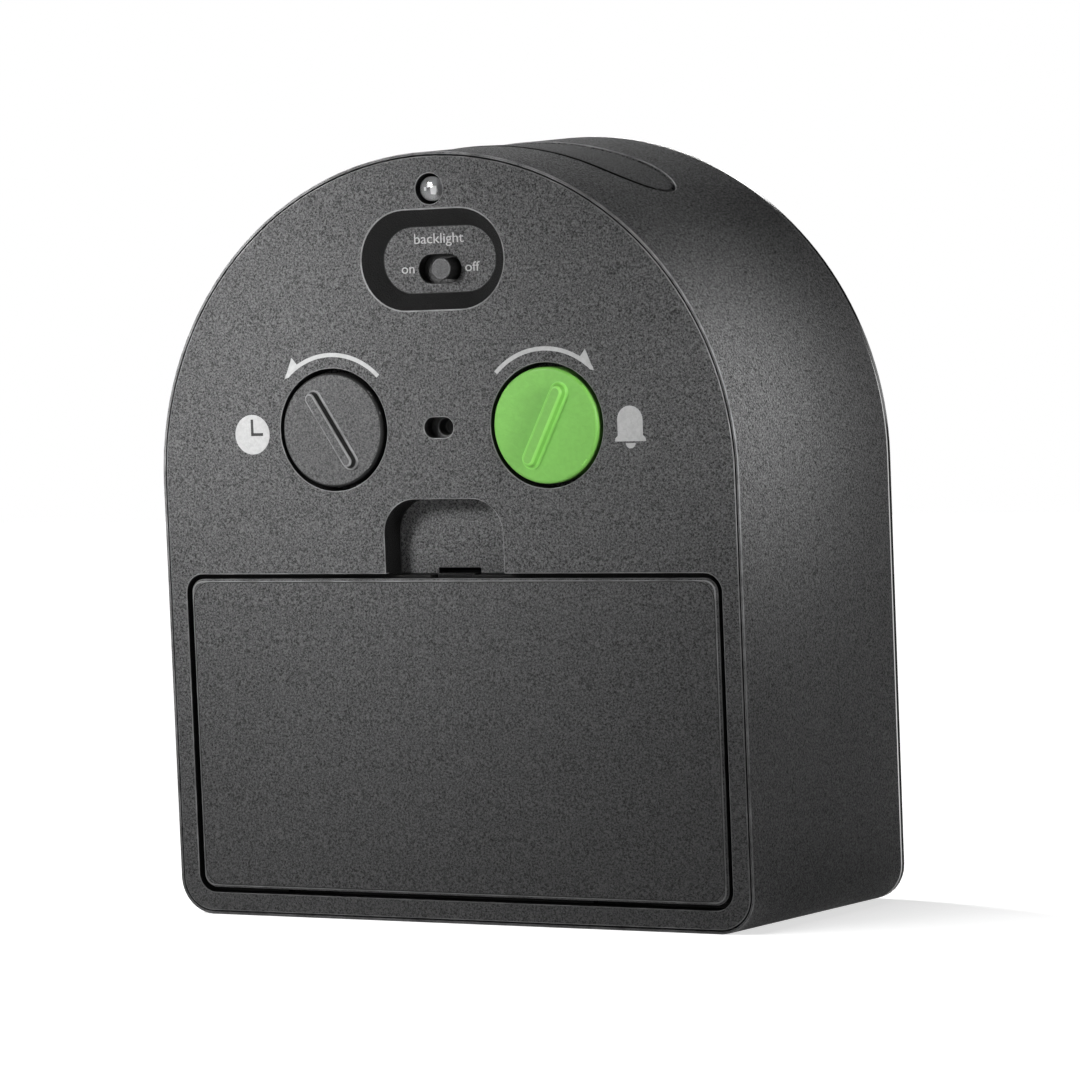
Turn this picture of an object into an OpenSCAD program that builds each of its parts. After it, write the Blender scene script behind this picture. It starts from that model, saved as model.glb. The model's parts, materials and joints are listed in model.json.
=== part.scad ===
// Analog alarm clock with a tapered arched case, drawn on the bench lying along its depth.
// Bench frame: x to the right as seen from the dial, y up the rear face, z from the rear
// face towards the dial. The last step stands it up on its slanted base.

/* [Case] */
// Width across the rear face
body_w = 93; // [88:0.5:100]
// Height of the arch centre above the rear bottom edge
arch_y = 63.85; // [62:0.1:70]
// Depth from the rear face to the front of the rim
body_depth = 48.8; // [48:0.1:56]
// How much wider each side is at the front
flare = 2.6; // [1.5:0.1:4]
// Backward lean of the case in degrees
lean = 2.67; // [1:0.01:4]
// Radius of the two long bottom corners
corner_r = 5.4; // [4:0.1:8]
// Wall thickness of the case
wall = 2.2; // [1.8:0.1:2.6]
// Thin edge of the case round the rear cover
lip_t = 0.4; // [0.3:0.05:0.6]
// Dark seam between the case and the rear cover
seam_gap = 0.2; // [0.1:0.05:0.3]
// Clearance of the pieces that slip into the case from the front
slip = 0.15; // [0.1:0.05:0.3]

/* [Front] */
// Thickness of the gloss rim
rim_t = 1.2; // [0.8:0.1:1.6]
// Width of the gloss rim round the window
rim_w = 4.6; // [3.6:0.1:6]
// Small bevel on the edges of the rim
rim_bevel = 0.25; // [0.1:0.05:0.4]
// Thickness of the clear window
lens_t = 1; // [0.8:0.1:1.4]
// Thickness of the dial sheet
dial_t = 0.8; // [0.6:0.1:1.2]
// Depth of the light guide between the dial and the window
guide_h = 4.25; // [4.1:0.05:5]
// Width of the light guide ring
guide_w = 2.6; // [2:0.1:4]
// Width and thickness of the ledge that the dial rests on
ledge_w = 2.5; // [2:0.1:4]
// Thickness of that ledge
ledge_t = 1.2; // [1:0.1:2]

/* [Rear cover] */
// Thickness of the cover plate
cover_t = 2.4; // [2:0.1:3]
// Wall of the tubs, wells and posts behind the plate
rib_t = 1.3; // [1:0.1:1.6]
// Length of the sound slot between the knobs
slot_l = 4.74; // [4:0.1:6]
// Width of the sound slot
slot_w = 2.96; // [2:0.1:4]
// Width of the two top clips
clip_w = 8; // [6:0.5:10]
// Reach of the clip hooks into the case wall
clip_hook = 0.8; // [0.5:0.1:1]

/* [Knobs] */
// Sideways distance of each knob from the middle
knob_x = 17.23; // [16.5:0.1:18.5]
// Height of the knobs above the arch centre
knob_rise = 7.35; // [5.2:0.05:9.1]
// Radius of the knobs
knob_r = 8.2; // [7:0.1:9]
// Dark gap between a knob and its well
knob_gap = 0.66; // [0.4:0.05:0.8]
// How far the knob face stands out of the rear face
knob_proud = 0.45; // [0.2:0.05:0.8]
// Thickness of the knob disc
knob_t = 3.6; // [3:0.1:4]
// Rounding of the knob edge
knob_round = 0.45; // [0.3:0.05:0.8]
// Length of the grip bar on a knob
grip_l = 12.8; // [10:0.1:14]
// Height of the grip bar
grip_h = 1.3; // [0.8:0.1:2]
// Width of the grip bar of the time knob at its foot
time_grip_w = 2.1; // [1.8:0.1:3]
// Width of the grip bar of the alarm knob at its foot
alarm_grip_w = 2.4; // [2:0.1:3.2]
// Draft of the grip bars, per side
grip_draft = 0.3; // [0.1:0.05:0.5]
// Turn of the time knob's bar at rest, in degrees
time_grip_turn = 32; // [0:1:180]
// Turn of the alarm knob's bar at rest, in degrees
alarm_grip_turn = 27; // [0:1:180]
// Radius of the setting shafts
shaft_r = 1.5; // [1.2:0.1:1.8]

/* [Backlight switch] */
// Distance of the switch recess below the top of the rear face
recess_drop = 15.28; // [13.4:0.02:17.4]
// Radius of the recess ends at the face
recess_r = 7.2; // [6.5:0.1:8]
// Half distance between the centres of the recess ends
recess_half = 4.35; // [3.5:0.1:5]
// Depth of the recess, which has walls at 45 degrees
recess_depth = 2.4; // [1.8:0.1:2.8]
// Drop of the slot below the recess centre
slide_drop = 1.34; // [0.8:0.02:2]
// Radius of the slot ends
slide_slot_r = 2; // [1.8:0.1:2.4]
// Travel of the switch button
slide_travel = 2.8; // [2:0.1:3]
// Radius of the switch button
button_r = 1.5; // [1.2:0.1:1.7]

/* [Light sensor] */
// Distance of the sensor hole below the top of the rear face
sensor_drop = 5.25; // [4.9:0.05:6.3]
// Radius of the sensor hole
sensor_hole_r = 2.2; // [2:0.1:2.4]
// Radius of the clear sensor body
sensor_r = 1.75; // [1.5:0.05:1.9]

/* [Snooze pad] */
// Depth of the pad centre from the rear face
pad_z = 23.9; // [22:0.1:26]
// Radius of the pad ends
pad_r = 7.7; // [6:0.1:8.2]
// Half distance between the centres of the pad ends
pad_half = 18.6; // [16:0.1:21]
// Gap round the pad
pad_gap = 0.3; // [0.2:0.05:0.5]
// Height of the pad's rear edge above the case
pad_proud = 0.1; // [0:0.05:0.3]
// Depth of the pad's front edge below the case
pad_sunk = 0.28; // [0:0.02:0.5]
// Thickness of the pad's top
pad_t = 2.2; // [1.8:0.1:2.6]
// Depth of the pad's skirt
pad_skirt = 5; // [4:0.1:6]
// Travel of the pad when it is pressed
pad_travel = 0.7; // [0.4:0.05:0.9]

/* [Battery door] */
// Width of the door
door_w = 85.2; // [82:0.1:86]
// Height of the door's bottom edge
door_y0 = 4.01; // [3.8:0.01:4.3]
// Height of the door's top edge
door_y1 = 49.65; // [49.4:0.05:50]
// Groove round the door
door_gap = 0.7; // [0.5:0.05:0.9]
// Thickness of the door
door_t = 1.8; // [1.5:0.1:2]
// Radius of the door's corners
door_r = 2; // [1:0.1:3]
// Bevel of the door's edge
door_bevel = 0.35; // [0.2:0.05:0.5]
// Sideways place of the door's two hinge tabs
tab_x = 25; // [20:0.5:26]
// Width of a hinge tab
tab_w = 8; // [6:0.5:9]
// Width of the thumb recess
thumb_w = 19.2; // [17:0.1:21]
// Height of the thumb recess above the door
thumb_h = 11; // [9:0.1:11.4]
// Depth of the thumb recess
thumb_depth = 4.7; // [4.4:0.1:5]
// Radius of the thumb recess's top corners
thumb_r = 5; // [3:0.1:6]
// Width of the latch tongue
latch_w = 6.1; // [5:0.1:7]

/* [Battery cells] */
// Diameter of a standard cell
cell_d = 14.5; // [14.3:0.1:14.5]
// Length of a standard cell with its button
cell_l = 50.5; // [49.5:0.1:50.5]
// Room between neighbouring cells
cell_play = 0.15; // [0.1:0.05:0.2]
// Room for the contacts at each end of the cells
contact_room = 4.25; // [3.5:0.05:4.5]

/* [Movement] */
// Depth of the movement's rear plate from the rear face
plate_z = 21.4; // [20.6:0.1:21.6]
// Thickness of the rear and front plates
plate_t = 1.6; // [1.2:0.1:1.8]
// Half width of the movement
plate_half = 25.5; // [25:0.1:28]
// Radial running clearance of shafts and tubes
running = 0.08; // [0.05:0.01:0.1]
// Module of the hand setting wheels
set_module = 0.5; // [0.46:0.02:0.5]
// Thickness of the wheels
wheel_t = 0.8; // [0.6:0.05:0.85]
// Play between meshing teeth
tooth_play = 0.05; // [0.03:0.01:0.08]

/* [Hands] */
// Length of the minute hand
minute_l = 34; // [28:0.5:38]
// Length of the hour hand
hour_l = 23; // [18:0.5:27]
// Length of the second hand
second_l = 36; // [30:0.5:39]
// Length of the alarm hand
alarm_l = 20; // [15:0.5:24]
// Thickness of the hands
hand_t = 0.4; // [0.3:0.05:0.45]

/* [Hidden] */
$fn = 96;

// Shape of the case, shared by everything that fits in it
half_w = body_w / 2;
side_slope = flare / body_depth;
base_slope = tan(lean);
foot = body_depth / cos(lean);
top_y = arch_y + half_w;
knob_y = arch_y + knob_rise;
recess_y = top_y - recess_drop;
sensor_y = top_y - sensor_drop;
shell_z1 = body_depth - rim_t;
side_stretch = sqrt(1 + side_slope * side_slope);
base_stretch = sqrt(1 + base_slope * base_slope);
corner_tilt = atan(sqrt(side_slope * side_slope + base_slope * base_slope));
corner_over = 0.003;
beyond = 300;
cut = 1;
seat = 0.3;
function half_at(z) = half_w + side_slope * z;

// Levels of the front pieces, from the window back
lens_z = shell_z1 - lens_t;
guide_z = lens_z - guide_h;
dial_z = guide_z - dial_t;
ledge_z = dial_z - ledge_t;
inside = wall + slip;
led_half = 2;
led_t = 3;

// Rear cover
cover_in = lip_t + seam_gap;
pan_z = door_t + 0.2;
pan_t = 1.4;
door_half = door_w / 2;
pan_half = door_half + door_gap;
pan_out = min(pan_half + rib_t, half_w - wall - 0.2);
pan_y0 = door_y0 - door_gap;
pan_y1 = door_y1 + door_gap;
thumb_half = thumb_w / 2;
thumb_y1 = door_y1 + door_gap / 2 + thumb_h;
screw_x = 37;
screw_y = [door_y0 + 5.2, door_y1 - 5.2];
screw_seat_z = 8.8;
screw_tube_z = 11;
screw_head_r = 2.9;
screw_hole_r = 1.7;
screw_core_r = 1.2;
screw_z1 = 22;
clip_turn = 32;
clip_z = [4.6, 7.6];
sound_x = 0;
buzzer_r = 6;
buzzer_h = 8;
buzzer_ring_z = cover_t + 4;
well_z = knob_t - knob_proud + seat;
hub_r = shaft_r + 1.1;
hub_z1 = well_z + rib_t + 1.2;

// Hinge tabs and latch tongue of the door
tab_y0 = door_y0 - 1.1;
tab_z0 = cover_t + seat;
tab_z1 = tab_z0 + 1.4;
latch_y1 = door_y1 + 0.5;
latch_z0 = thumb_depth - 1.2;
notch_y1 = door_y1 + 1.15;

// Cells and their tray
cell_r = cell_d / 2;
cell_pitch = cell_d + cell_play;
cell_y = (door_y0 + door_y1) / 2 + 0.12;
cell_z = pan_z + cell_r + 1.3;
tray_half_y = 1.5 * cell_pitch + 0.1;
tray_half_x = cell_l / 2 + contact_room;
tray_z1 = cell_z + cell_r + 0.2;
nub_r = 2.75;
nub_l = 1.3;
leaf_t = 0.4;
leaf_reach = 5;
leaf_half = 3.5;

// Switch, sensor and boards
slide_y = recess_y - slide_drop;
recess_z1 = recess_depth + 1.4;
flange_z = recess_z1 + seat;
flange_t = 0.9;
board_z = 9.5;
board_t = 1.6;
board_y0 = top_y - 27.35;
board_half = 18.5;
board_side = 14;
board_posts = [[board_half - 3, board_y0 + 3], [board_half - 6, board_y0 + 20]];
switch_z = flange_z + flange_t + 0.5;
sensor_dome_z = 0.5;
sensor_flange_z = 6.4;
sensor_ring_z = 4.5;

// Snooze pad over its own small board
pad_z0 = pad_z - pad_r;
pad_z1 = pad_z + pad_r;
pad_r0 = half_at(pad_z0) + pad_proud;
pad_r1 = half_at(pad_z1) - pad_sunk;
pad_skirt_t = 1.6;
pad_top = arch_y + (pad_r0 + pad_r1) / 2;
tact_h = 4.5;
plunger_h = 1;
push_gap = 0.1;
pad_foot_y = pad_top - pad_t - 2.8;
tact_top_y = pad_foot_y - pad_travel - push_gap;
snooze_board_t = 1.2;
snooze_y = tact_top_y - tact_h - snooze_board_t;
snooze_half = 9;
snooze_posts_x = 6.5;
snooze_posts_z = [pad_z0 - 2.2, pad_z1 + 2.2];
leg_x = 18;
leg_w = 3;
hook_y = arch_y + sqrt(pow(half_at(pad_z0) - wall, 2) - pow(leg_x + leg_w / 2, 2)) - seat;

// Movement levels
gear_z = plate_z + plate_t;
fifth_z = gear_z + 0.4;
fourth_z = fifth_z + wheel_t + 0.25;
third_z = fourth_z + wheel_t + 0.5;
centre_z = third_z + wheel_t + 1.1;
middle_z = centre_z + wheel_t + 0.5;
middle_t = 0.8;
minute_z = middle_z + middle_t + 0.7;
hour_z = minute_z + wheel_t + 0.6;
alarm_z = hour_z + wheel_t + 0.7;
front_z = alarm_z + wheel_t + 0.8;
pinion_over = 0.3;

// Wheel trains: tooth counts, places and how the teeth meet
rotor_teeth = 8;
fifth_teeth = 48;
fifth_pinion = 8;
fourth_teeth = 40;
fourth_pinion = 8;
third_teeth = 60;
third_pinion = 8;
centre_teeth = 64;
set_teeth = 12;
minute_teeth = 36;
minute_pinion = 10;
hour_teeth = 40;
alarm_teeth = 48;
alarm_pinion_teeth = 24;
rotor_module = 0.2;
second_module = 0.25;
tooth_out = 0.8;
tooth_in = 1.05;
pressure = 20;
axis = [0, arch_y];
time_at = [knob_x, knob_y];
alarm_at = [-knob_x, knob_y];
knob_arm = norm(time_at - axis);
set_arm = (set_teeth + minute_teeth) * set_module / 2;
hour_module = 2 * set_arm / (minute_pinion + hour_teeth);
alarm_module = 2 * knob_arm / (alarm_teeth + alarm_pinion_teeth);
knob_dir = (time_at - axis) / knob_arm;
set_side = sqrt(set_arm * set_arm - knob_arm * knob_arm / 4);
minute_at = (axis + time_at) / 2 + set_side * [knob_dir[1], -knob_dir[0]];
third_arm = (fourth_pinion + third_teeth) * second_module / 2;
centre_module = 2 * third_arm / (third_pinion + centre_teeth);
third_at = axis - [third_arm, 0];
fifth_arm = (fifth_pinion + fourth_teeth) * second_module / 2;
fifth_at = axis + [0, fifth_arm];
rotor_arm = (rotor_teeth + fifth_teeth) * rotor_module / 2;
rotor_at = fifth_at + [0, rotor_arm];
function turn_to(from, to) = atan2(to[1] - from[1], to[0] - from[0]);
function mesh_phase(dir, phase, teeth, other) =
  dir + 180 + ((dir - phase) * teeth / 360 - 0.5) * 360 / other;
cannon_phase = mesh_phase(turn_to(minute_at, axis), 0, minute_teeth, set_teeth);
time_phase = mesh_phase(turn_to(minute_at, time_at), 0, minute_teeth, set_teeth);
hour_phase = mesh_phase(turn_to(minute_at, axis), 0, minute_pinion, hour_teeth);
alarm_phase = mesh_phase(turn_to(axis, alarm_at), 0, alarm_teeth, alarm_pinion_teeth);
fifth_phase = mesh_phase(turn_to(axis, fifth_at), 0, fourth_teeth, fifth_pinion);
rotor_phase = mesh_phase(turn_to(fifth_at, rotor_at), 0, fifth_teeth, rotor_teeth);
third_phase = mesh_phase(turn_to(axis, third_at), 0, fourth_pinion, third_teeth);
centre_phase = mesh_phase(turn_to(third_at, axis), 0, third_pinion, centre_teeth);

// Nested tubes at the middle of the dial
pivot_r = 0.4;
second_r = 0.5;
tube_t = 0.6;
cannon_in = second_r + running;
cannon_out = cannon_in + tube_t;
hour_in = cannon_out + running;
hour_out = hour_in + tube_t;
alarm_in = hour_out + running;
alarm_out = alarm_in + tube_t;
bush_in = alarm_out + running;
bush_out = bush_in + 1.2;
nut_t = 0.65;
hand_step = (guide_h - nut_t - 0.3) / 4;
alarm_hand_z = dial_z + dial_t + nut_t + 0.15;
hour_hand_z = alarm_hand_z + hand_step;
minute_hand_z = hour_hand_z + hand_step;
second_hand_z = minute_hand_z + hand_step;
bush_z1 = alarm_hand_z - 0.15;

// Movement frame
plate_down = 19;
plate_up = 24;
plate_y0 = arch_y - plate_down;
plate_y1 = arch_y + plate_up;
pillar_x = plate_half - 2.6;
pillar_ys = [plate_y0 + 2.6, plate_y1 - 2.6];
pillar_r = 2;
stator_z = gear_z + 2;
stator_t = 1.4;
stator_y0 = rotor_at[1] - 2.4;
stator_y1 = rotor_at[1] + 2.4;
stator_half = 14;
stator_arm = 3;
magnet_r = 1.5;
core_y = rotor_at[1] + 6.4;
coil_r = 2.6;
coil_half = 9.5;
bridge_posts = [[9, -9.5], [-9, -11]];
bridge_y0 = arch_y - 13;
bridge_y1 = rotor_at[1] + 1.9;
bridge_x0 = -stator_half - 0.2;
bridge_x1 = knob_x + shaft_r + 1.8;
contact_at = [-16, arch_y - 12.5];
contact_z = front_z - 0.55;
contact_foot = 1.6;
contact_tip = [9.6, 5.6];
minute_stud_r = 0.75;
stator_post_r = 1.4;
stator_pin_r = 0.9;

// Basic solids
module post(x, y, r, z0, z1) {
  translate([x, y, z0]) cylinder(r = r, h = z1 - z0);
}
module block(x0, x1, y0, y1, z0, z1) {
  translate([x0, y0, z0]) cube([x1 - x0, y1 - y0, z1 - z0]);
}
module along_x(x0, x1) {
  translate([x0, 0, 0]) rotate([90, 0, 90]) linear_extrude(x1 - x0) children();
}
module along_y(y0, y1) {
  translate([0, y1, 0]) rotate([90, 0, 0]) linear_extrude(y1 - y0) children();
}
module pill_outline(half, r) {
  square([2 * half, 2 * r], center = true);
  for (s = [-1, 1]) translate([s * half, 0]) circle(r = r);
}
module pill(y, half, r, z0, z1) {
  translate([0, y, z0]) linear_extrude(z1 - z0) pill_outline(half, r);
}
module pill_taper(half, r0, r1, z0, z1) {
  for (s = [-1, 1]) translate([s * half, 0, z0]) cylinder(r1 = r0, r2 = r1, h = z1 - z0);
  along_x(-half, half) polygon([[-r0, z0], [r0, z0], [r1, z1], [-r1, z1]]);
}
module round_box(half, y0, y1, r, z0, z1) {
  block(-half, half, y0 + r, y1 - r, z0, z1);
  block(-half + r, half - r, y0, y1, z0, z1);
  for (s = [-1, 1], y = [y0 + r, y1 - r]) post(s * (half - r), y, r, z0, z1);
}
module bevel_box(half, y0, y1, r, z0, z1, bevel) {
  zb = z0 + bevel;
  round_box(half, y0, y1, r, zb, z1);
  along_y(y0 + r, y1 - r)
    polygon([[bevel - half, z0], [half - bevel, z0], [half, zb], [-half, zb]]);
  along_x(r - half, half - r)
    polygon([[y0 + bevel, z0], [y1 - bevel, z0], [y1, zb], [y0, zb]]);
  for (s = [-1, 1], y = [y0 + r, y1 - r]) translate([s * (half - r), y, z0])
    cylinder(r1 = r - bevel, r2 = r, h = bevel);
}

// Tapered arch of the case, drawn in from the outside by inset
module body_arch(inset, z0, z1) {
  intersection() {
    translate([0, arch_y, z0])
      cylinder(r1 = half_at(z0) - inset, r2 = half_at(z1) - inset, h = z1 - z0, $fn = 180);
    block(-beyond / 2, beyond / 2, arch_y, beyond, z0, z1);
  }
}
module between_sides(side_in, top, z0, z1) {
  along_y(-beyond, top) polygon([
    [side_in - half_at(z0), z0], [half_at(z0) - side_in, z0],
    [half_at(z1) - side_in, z1], [side_in - half_at(z1), z1]]);
}
module above_base(base_in, z0, z1) {
  along_x(-beyond / 2, beyond / 2) polygon([
    [base_in - base_slope * z0, z0], [beyond, z0],
    [beyond, z1], [base_in - base_slope * z1, z1]]);
}
module body_corner(side, inset, r, z0, z1) {
  x = half_at(z0) - inset - (r - corner_over) * side_stretch;
  y = inset + (r - corner_over) * base_stretch - base_slope * z0;
  translate([side * x, y, z0]) rotate([0, 0, atan2(-base_slope, side * side_slope)])
    rotate([0, corner_tilt, 0]) cylinder(r = r, h = z1 - z0 + cut);
}
module body_form(inset, z0, z1) {
  r = max(corner_r - inset, 0.5);
  body_arch(inset, z0, z1);
  intersection() {
    between_sides(inset, arch_y, z0, z1);
    above_base(inset, z0, z1);
    union() {
      above_base(inset + r * base_stretch, z0 - cut, z1 + cut);
      between_sides(inset + r * side_stretch, beyond, z0 - cut, z1 + cut);
      for (side = [-1, 1]) body_corner(side, inset, r, z0 - cut, z1 + cut);
    }
  }
}

// The same outline as points, for bevelled rims
function corner_points(inset, z, steps) =
  let (r = max(corner_r - inset, 0.5),
       x = half_at(z) - inset - r,
       y = inset + r - base_slope * z)
  [for (i = [0:steps]) let (a = -90 + 90 * i / steps) [x + r * cos(a), y + r * sin(a)]];
function arch_points(inset, z, steps) =
  [for (i = [0:steps]) let (a = 180 * i / steps, r = half_at(z) - inset)
    [r * cos(a), arch_y + r * sin(a)]];
function mirrored(points) =
  [for (i = [len(points) - 1:-1:0]) [-points[i][0], points[i][1]]];
function body_outline(inset, z) = concat(
  corner_points(inset, z, 8), arch_points(inset, z, 80), mirrored(corner_points(inset, z, 8)));
module body_slice(inset, z) {
  translate([0, 0, z]) linear_extrude(0.01) polygon(body_outline(inset, z));
}

// Involute teeth as one closed outline
function involute(r, base) = r <= base ? 0 : tan(acos(base / r)) * 180 / PI - acos(base / r);
function tooth_half(r, teeth, m) =
  let (pitch = teeth * m / 2, base = pitch * cos(pressure))
  90 / teeth + involute(pitch, base) - involute(r, base)
    - tooth_play / (2 * pitch) * 180 / PI;
function tooth_radii(teeth, m) =
  [teeth * m / 2 - tooth_in * m, teeth * m / 2, teeth * m / 2 + tooth_out * m];
function gear_points(teeth, m, phase) =
  let (radii = tooth_radii(teeth, m))
  [for (i = [0:teeth - 1], side = [-1, 1], k = side < 0 ? [0:2] : [2:-1:0])
    let (a = phase + 360 * i / teeth + side * tooth_half(radii[k], teeth, m))
    radii[k] * [cos(a), sin(a)]];
module gear(at, teeth, m, phase, z, t) {
  translate([at[0], at[1], z]) linear_extrude(t) polygon(gear_points(teeth, m, phase));
}
module wheel(at, teeth, m, phase, z) {
  rim_r = teeth * m / 2 - 2.6 * m;
  hub_r = rim_r * 0.34;
  difference() {
    gear(at, teeth, m, phase, z, wheel_t);
    translate([at[0], at[1], z - cut]) for (i = [0:3]) rotate([0, 0, 90 * i + 45])
      translate([(rim_r + hub_r) / 2, 0, 0])
        cylinder(r = (rim_r - hub_r) / 2 * 0.82, h = wheel_t + 2 * cut);
  }
}
module bore(at, r, z0, z1) {
  post(at[0], at[1], r, z0 - cut, z1 + cut);
}

// Case shell: one tapered tube with the dial ledge, the screw bosses and the pad opening
module case_shell() {
  color([0.1, 0.1, 0.105]) difference() {
    union() {
      difference() {
        body_form(0, 0, shell_z1);
        body_form(lip_t, -cut, cover_t);
        body_form(wall, cover_t - 0.01, ledge_z);
        body_form(wall + ledge_w, ledge_z - 0.01, dial_z);
        body_form(wall, dial_z, shell_z1 + cut);
      }
      for (s = [-1, 1], y = screw_y) {
        post(s * screw_x, y, screw_head_r + 0.5, screw_tube_z, ledge_z);
        along_y(y - rib_t / 2, y + rib_t / 2) polygon([
          [s * screw_x, screw_tube_z], [s * (half_at(screw_tube_z) - 0.6), screw_tube_z],
          [s * (half_at(ledge_z) - 0.6), ledge_z], [s * screw_x, ledge_z]]);
      }
      intersection() {
        for (s = [-1, 1], z = snooze_posts_z)
          translate([s * snooze_posts_x, snooze_y + snooze_board_t, z]) rotate([-90, 0, 0])
            cylinder(r = 1.6, h = beyond / 10);
        body_form(wall / 2, cover_t, ledge_z);
      }
    }
    pad_prism(pad_r + pad_gap, arch_y + half_w / 2, arch_y + half_w + 10);
    for (s = [-1, 1], y = screw_y)
      post(s * screw_x, y, screw_core_r + 0.05, screw_tube_z - cut, screw_z1 + 1);
    clip_pockets();
  }
}
module clip_pockets() {
  for (s = [-1, 1]) translate([0, arch_y, 0]) rotate([0, 0, s * clip_turn])
    block(-clip_w / 2 - 0.4, clip_w / 2 + 0.4, half_w - wall - 1.5,
      half_at(clip_z[1]) - wall + clip_hook + 0.1, clip_z[1] - 1.6, clip_z[1] + 0.3);
}
module pad_prism(r, y0, y1) {
  along_y(y0, y1) translate([0, pad_z]) pill_outline(pad_half, r);
}

// Rear cover: plate, knob wells, switch recess, thumb recess, door pan and cell tray
module rear_cover() {
  color([0.2, 0.2, 0.205]) difference() {
    union() {
      body_form(cover_in, 0, cover_t);
      for (at = [time_at, alarm_at])
        post(at[0], at[1], knob_r + knob_gap + rib_t, cover_t - 0.5, well_z + rib_t);
      pill(recess_y, recess_half, recess_r + 1, cover_t - 0.5, recess_z1);
      round_box(pan_out, pan_y0, pan_y1 + rib_t, door_r + 1, cover_t - 0.5,
        pan_z + pan_t);
      block(-thumb_half - rib_t, thumb_half + rib_t, pan_y1 - 2, thumb_y1 + rib_t,
        cover_t - 0.5, thumb_depth + 1.4);
      block(-tray_half_x - rib_t, tray_half_x + rib_t, cell_y - tray_half_y - rib_t,
        cell_y + tray_half_y + rib_t, pan_z, tray_z1 + rib_t);
      for (s = [-1, 1], y = screw_y)
        post(s * screw_x, y, screw_head_r + 1.3, pan_z, screw_tube_z);
      for (s = [-1, 1], p = board_posts) post(s * p[0], p[1], 1.8, cover_t - 0.5, board_z);
      post(0, sensor_y, sensor_hole_r + 0.7, cover_t - 0.5, sensor_ring_z);
      post(sound_x, knob_y, buzzer_r + rib_t + 0.15, cover_t - 0.5, buzzer_ring_z);
      cover_clips();
    }
    door_and_tray_cuts();
    knob_well_cuts();
    translate([0, recess_y, 0]) pill_taper(recess_half, recess_r + cut,
      recess_r - recess_depth, -cut, recess_depth);
    pill(slide_y, slide_travel / 2 + button_r + 0.48 - slide_slot_r, slide_slot_r,
      recess_depth - cut, recess_z1 + cut);
    post(0, sensor_y, sensor_hole_r, -cut, sensor_ring_z + cut);
    pill(knob_y, (slot_l - slot_w) / 2, slot_w / 2, -cut, cover_t + cut);
    post(sound_x, knob_y, buzzer_r + 0.15, cover_t, buzzer_ring_z + cut);
    for (s = [-1, 1], y = screw_y) {
      post(s * screw_x, y, screw_head_r + 0.3, pan_z - cut, screw_seat_z);
      post(s * screw_x, y, screw_hole_r, screw_seat_z - cut, screw_tube_z + cut);
    }
  }
  color([0.2, 0.2, 0.205]) for (y = [-0.5, 0.5])
    block(-cell_l * 0.4, cell_l * 0.4, cell_y + y * cell_pitch - 0.8,
      cell_y + y * cell_pitch + 0.8, tray_z1 - 2.4, tray_z1 + 0.5);
}
module cover_clips() {
  for (s = [-1, 1]) translate([0, arch_y, 0]) rotate([0, 0, s * clip_turn]) {
    block(-clip_w / 2, clip_w / 2, half_w - wall - 2.2, half_w - wall - 0.3,
      cover_t - 0.5, clip_z[1]);
    block(-clip_w / 2, clip_w / 2, half_w - wall - 2.2, half_w - wall + clip_hook,
      clip_z[1] - 1.3, clip_z[1]);
  }
}
module knob_well_cuts() {
  for (at = [time_at, alarm_at]) {
    post(at[0], at[1], knob_r + knob_gap, -cut, well_z);
    post(at[0], at[1], hub_r + running, -cut, well_z + rib_t + cut);
  }
}
module door_and_tray_cuts() {
  round_box(pan_half, pan_y0, pan_y1, door_r + door_gap, -cut, pan_z);
  intersection() {
    round_box(thumb_half, pan_y1 - 4 * thumb_r, thumb_y1, thumb_r, -cut, thumb_depth);
    block(-thumb_half, thumb_half, door_y1 + door_gap / 2, thumb_y1, -cut, thumb_depth);
  }
  block(-tray_half_x, tray_half_x, cell_y - tray_half_y, cell_y + tray_half_y,
    pan_z - cut, tray_z1);
  block(-latch_w / 2 - 0.3, latch_w / 2 + 0.3, cell_y + tray_half_y - 1, notch_y1,
    pan_z - cut, thumb_depth + 1.4 + cut);
  for (s = [-1, 1]) block(s * tab_x - tab_w / 2 - seat, s * tab_x + tab_w / 2 + seat,
    pan_y0, cell_y - tray_half_y + 1, pan_z - cut, tab_z1 + 0.4);
}

// Battery door: bevelled panel, two hinge tabs under the cover's edge and a latch tongue
module battery_door() {
  color([0.19, 0.19, 0.195]) {
    bevel_box(door_half, door_y0, door_y1, door_r, 0, door_t, door_bevel);
    for (s = [-1, 1]) {
      block(s * tab_x - tab_w / 2, s * tab_x + tab_w / 2, door_y0 + 0.3, door_y0 + 2,
        door_t - 0.3, tab_z1);
      block(s * tab_x - tab_w / 2, s * tab_x + tab_w / 2, tab_y0, door_y0 + 1,
        tab_z0, tab_z1);
    }
    block(-latch_w / 2, latch_w / 2, latch_y1 - 4.3, latch_y1 - 2.9, door_t - 0.3, latch_z0 + 1);
    block(-latch_w / 2, latch_w / 2, latch_y1 - 4.3, latch_y1, latch_z0, latch_z0 + 1);
    block(-latch_w / 2, latch_w / 2, latch_y1 - 0.6, latch_y1, latch_z0 + 0.5, latch_z0 + 1.8);
    for (y = [-0.5, 0.5]) block(-tray_half_x + 3, tray_half_x - 3,
      cell_y + y * cell_pitch - 0.6, cell_y + y * cell_pitch + 0.6, door_t - 0.3, door_t + 1.2);
  }
}

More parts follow.
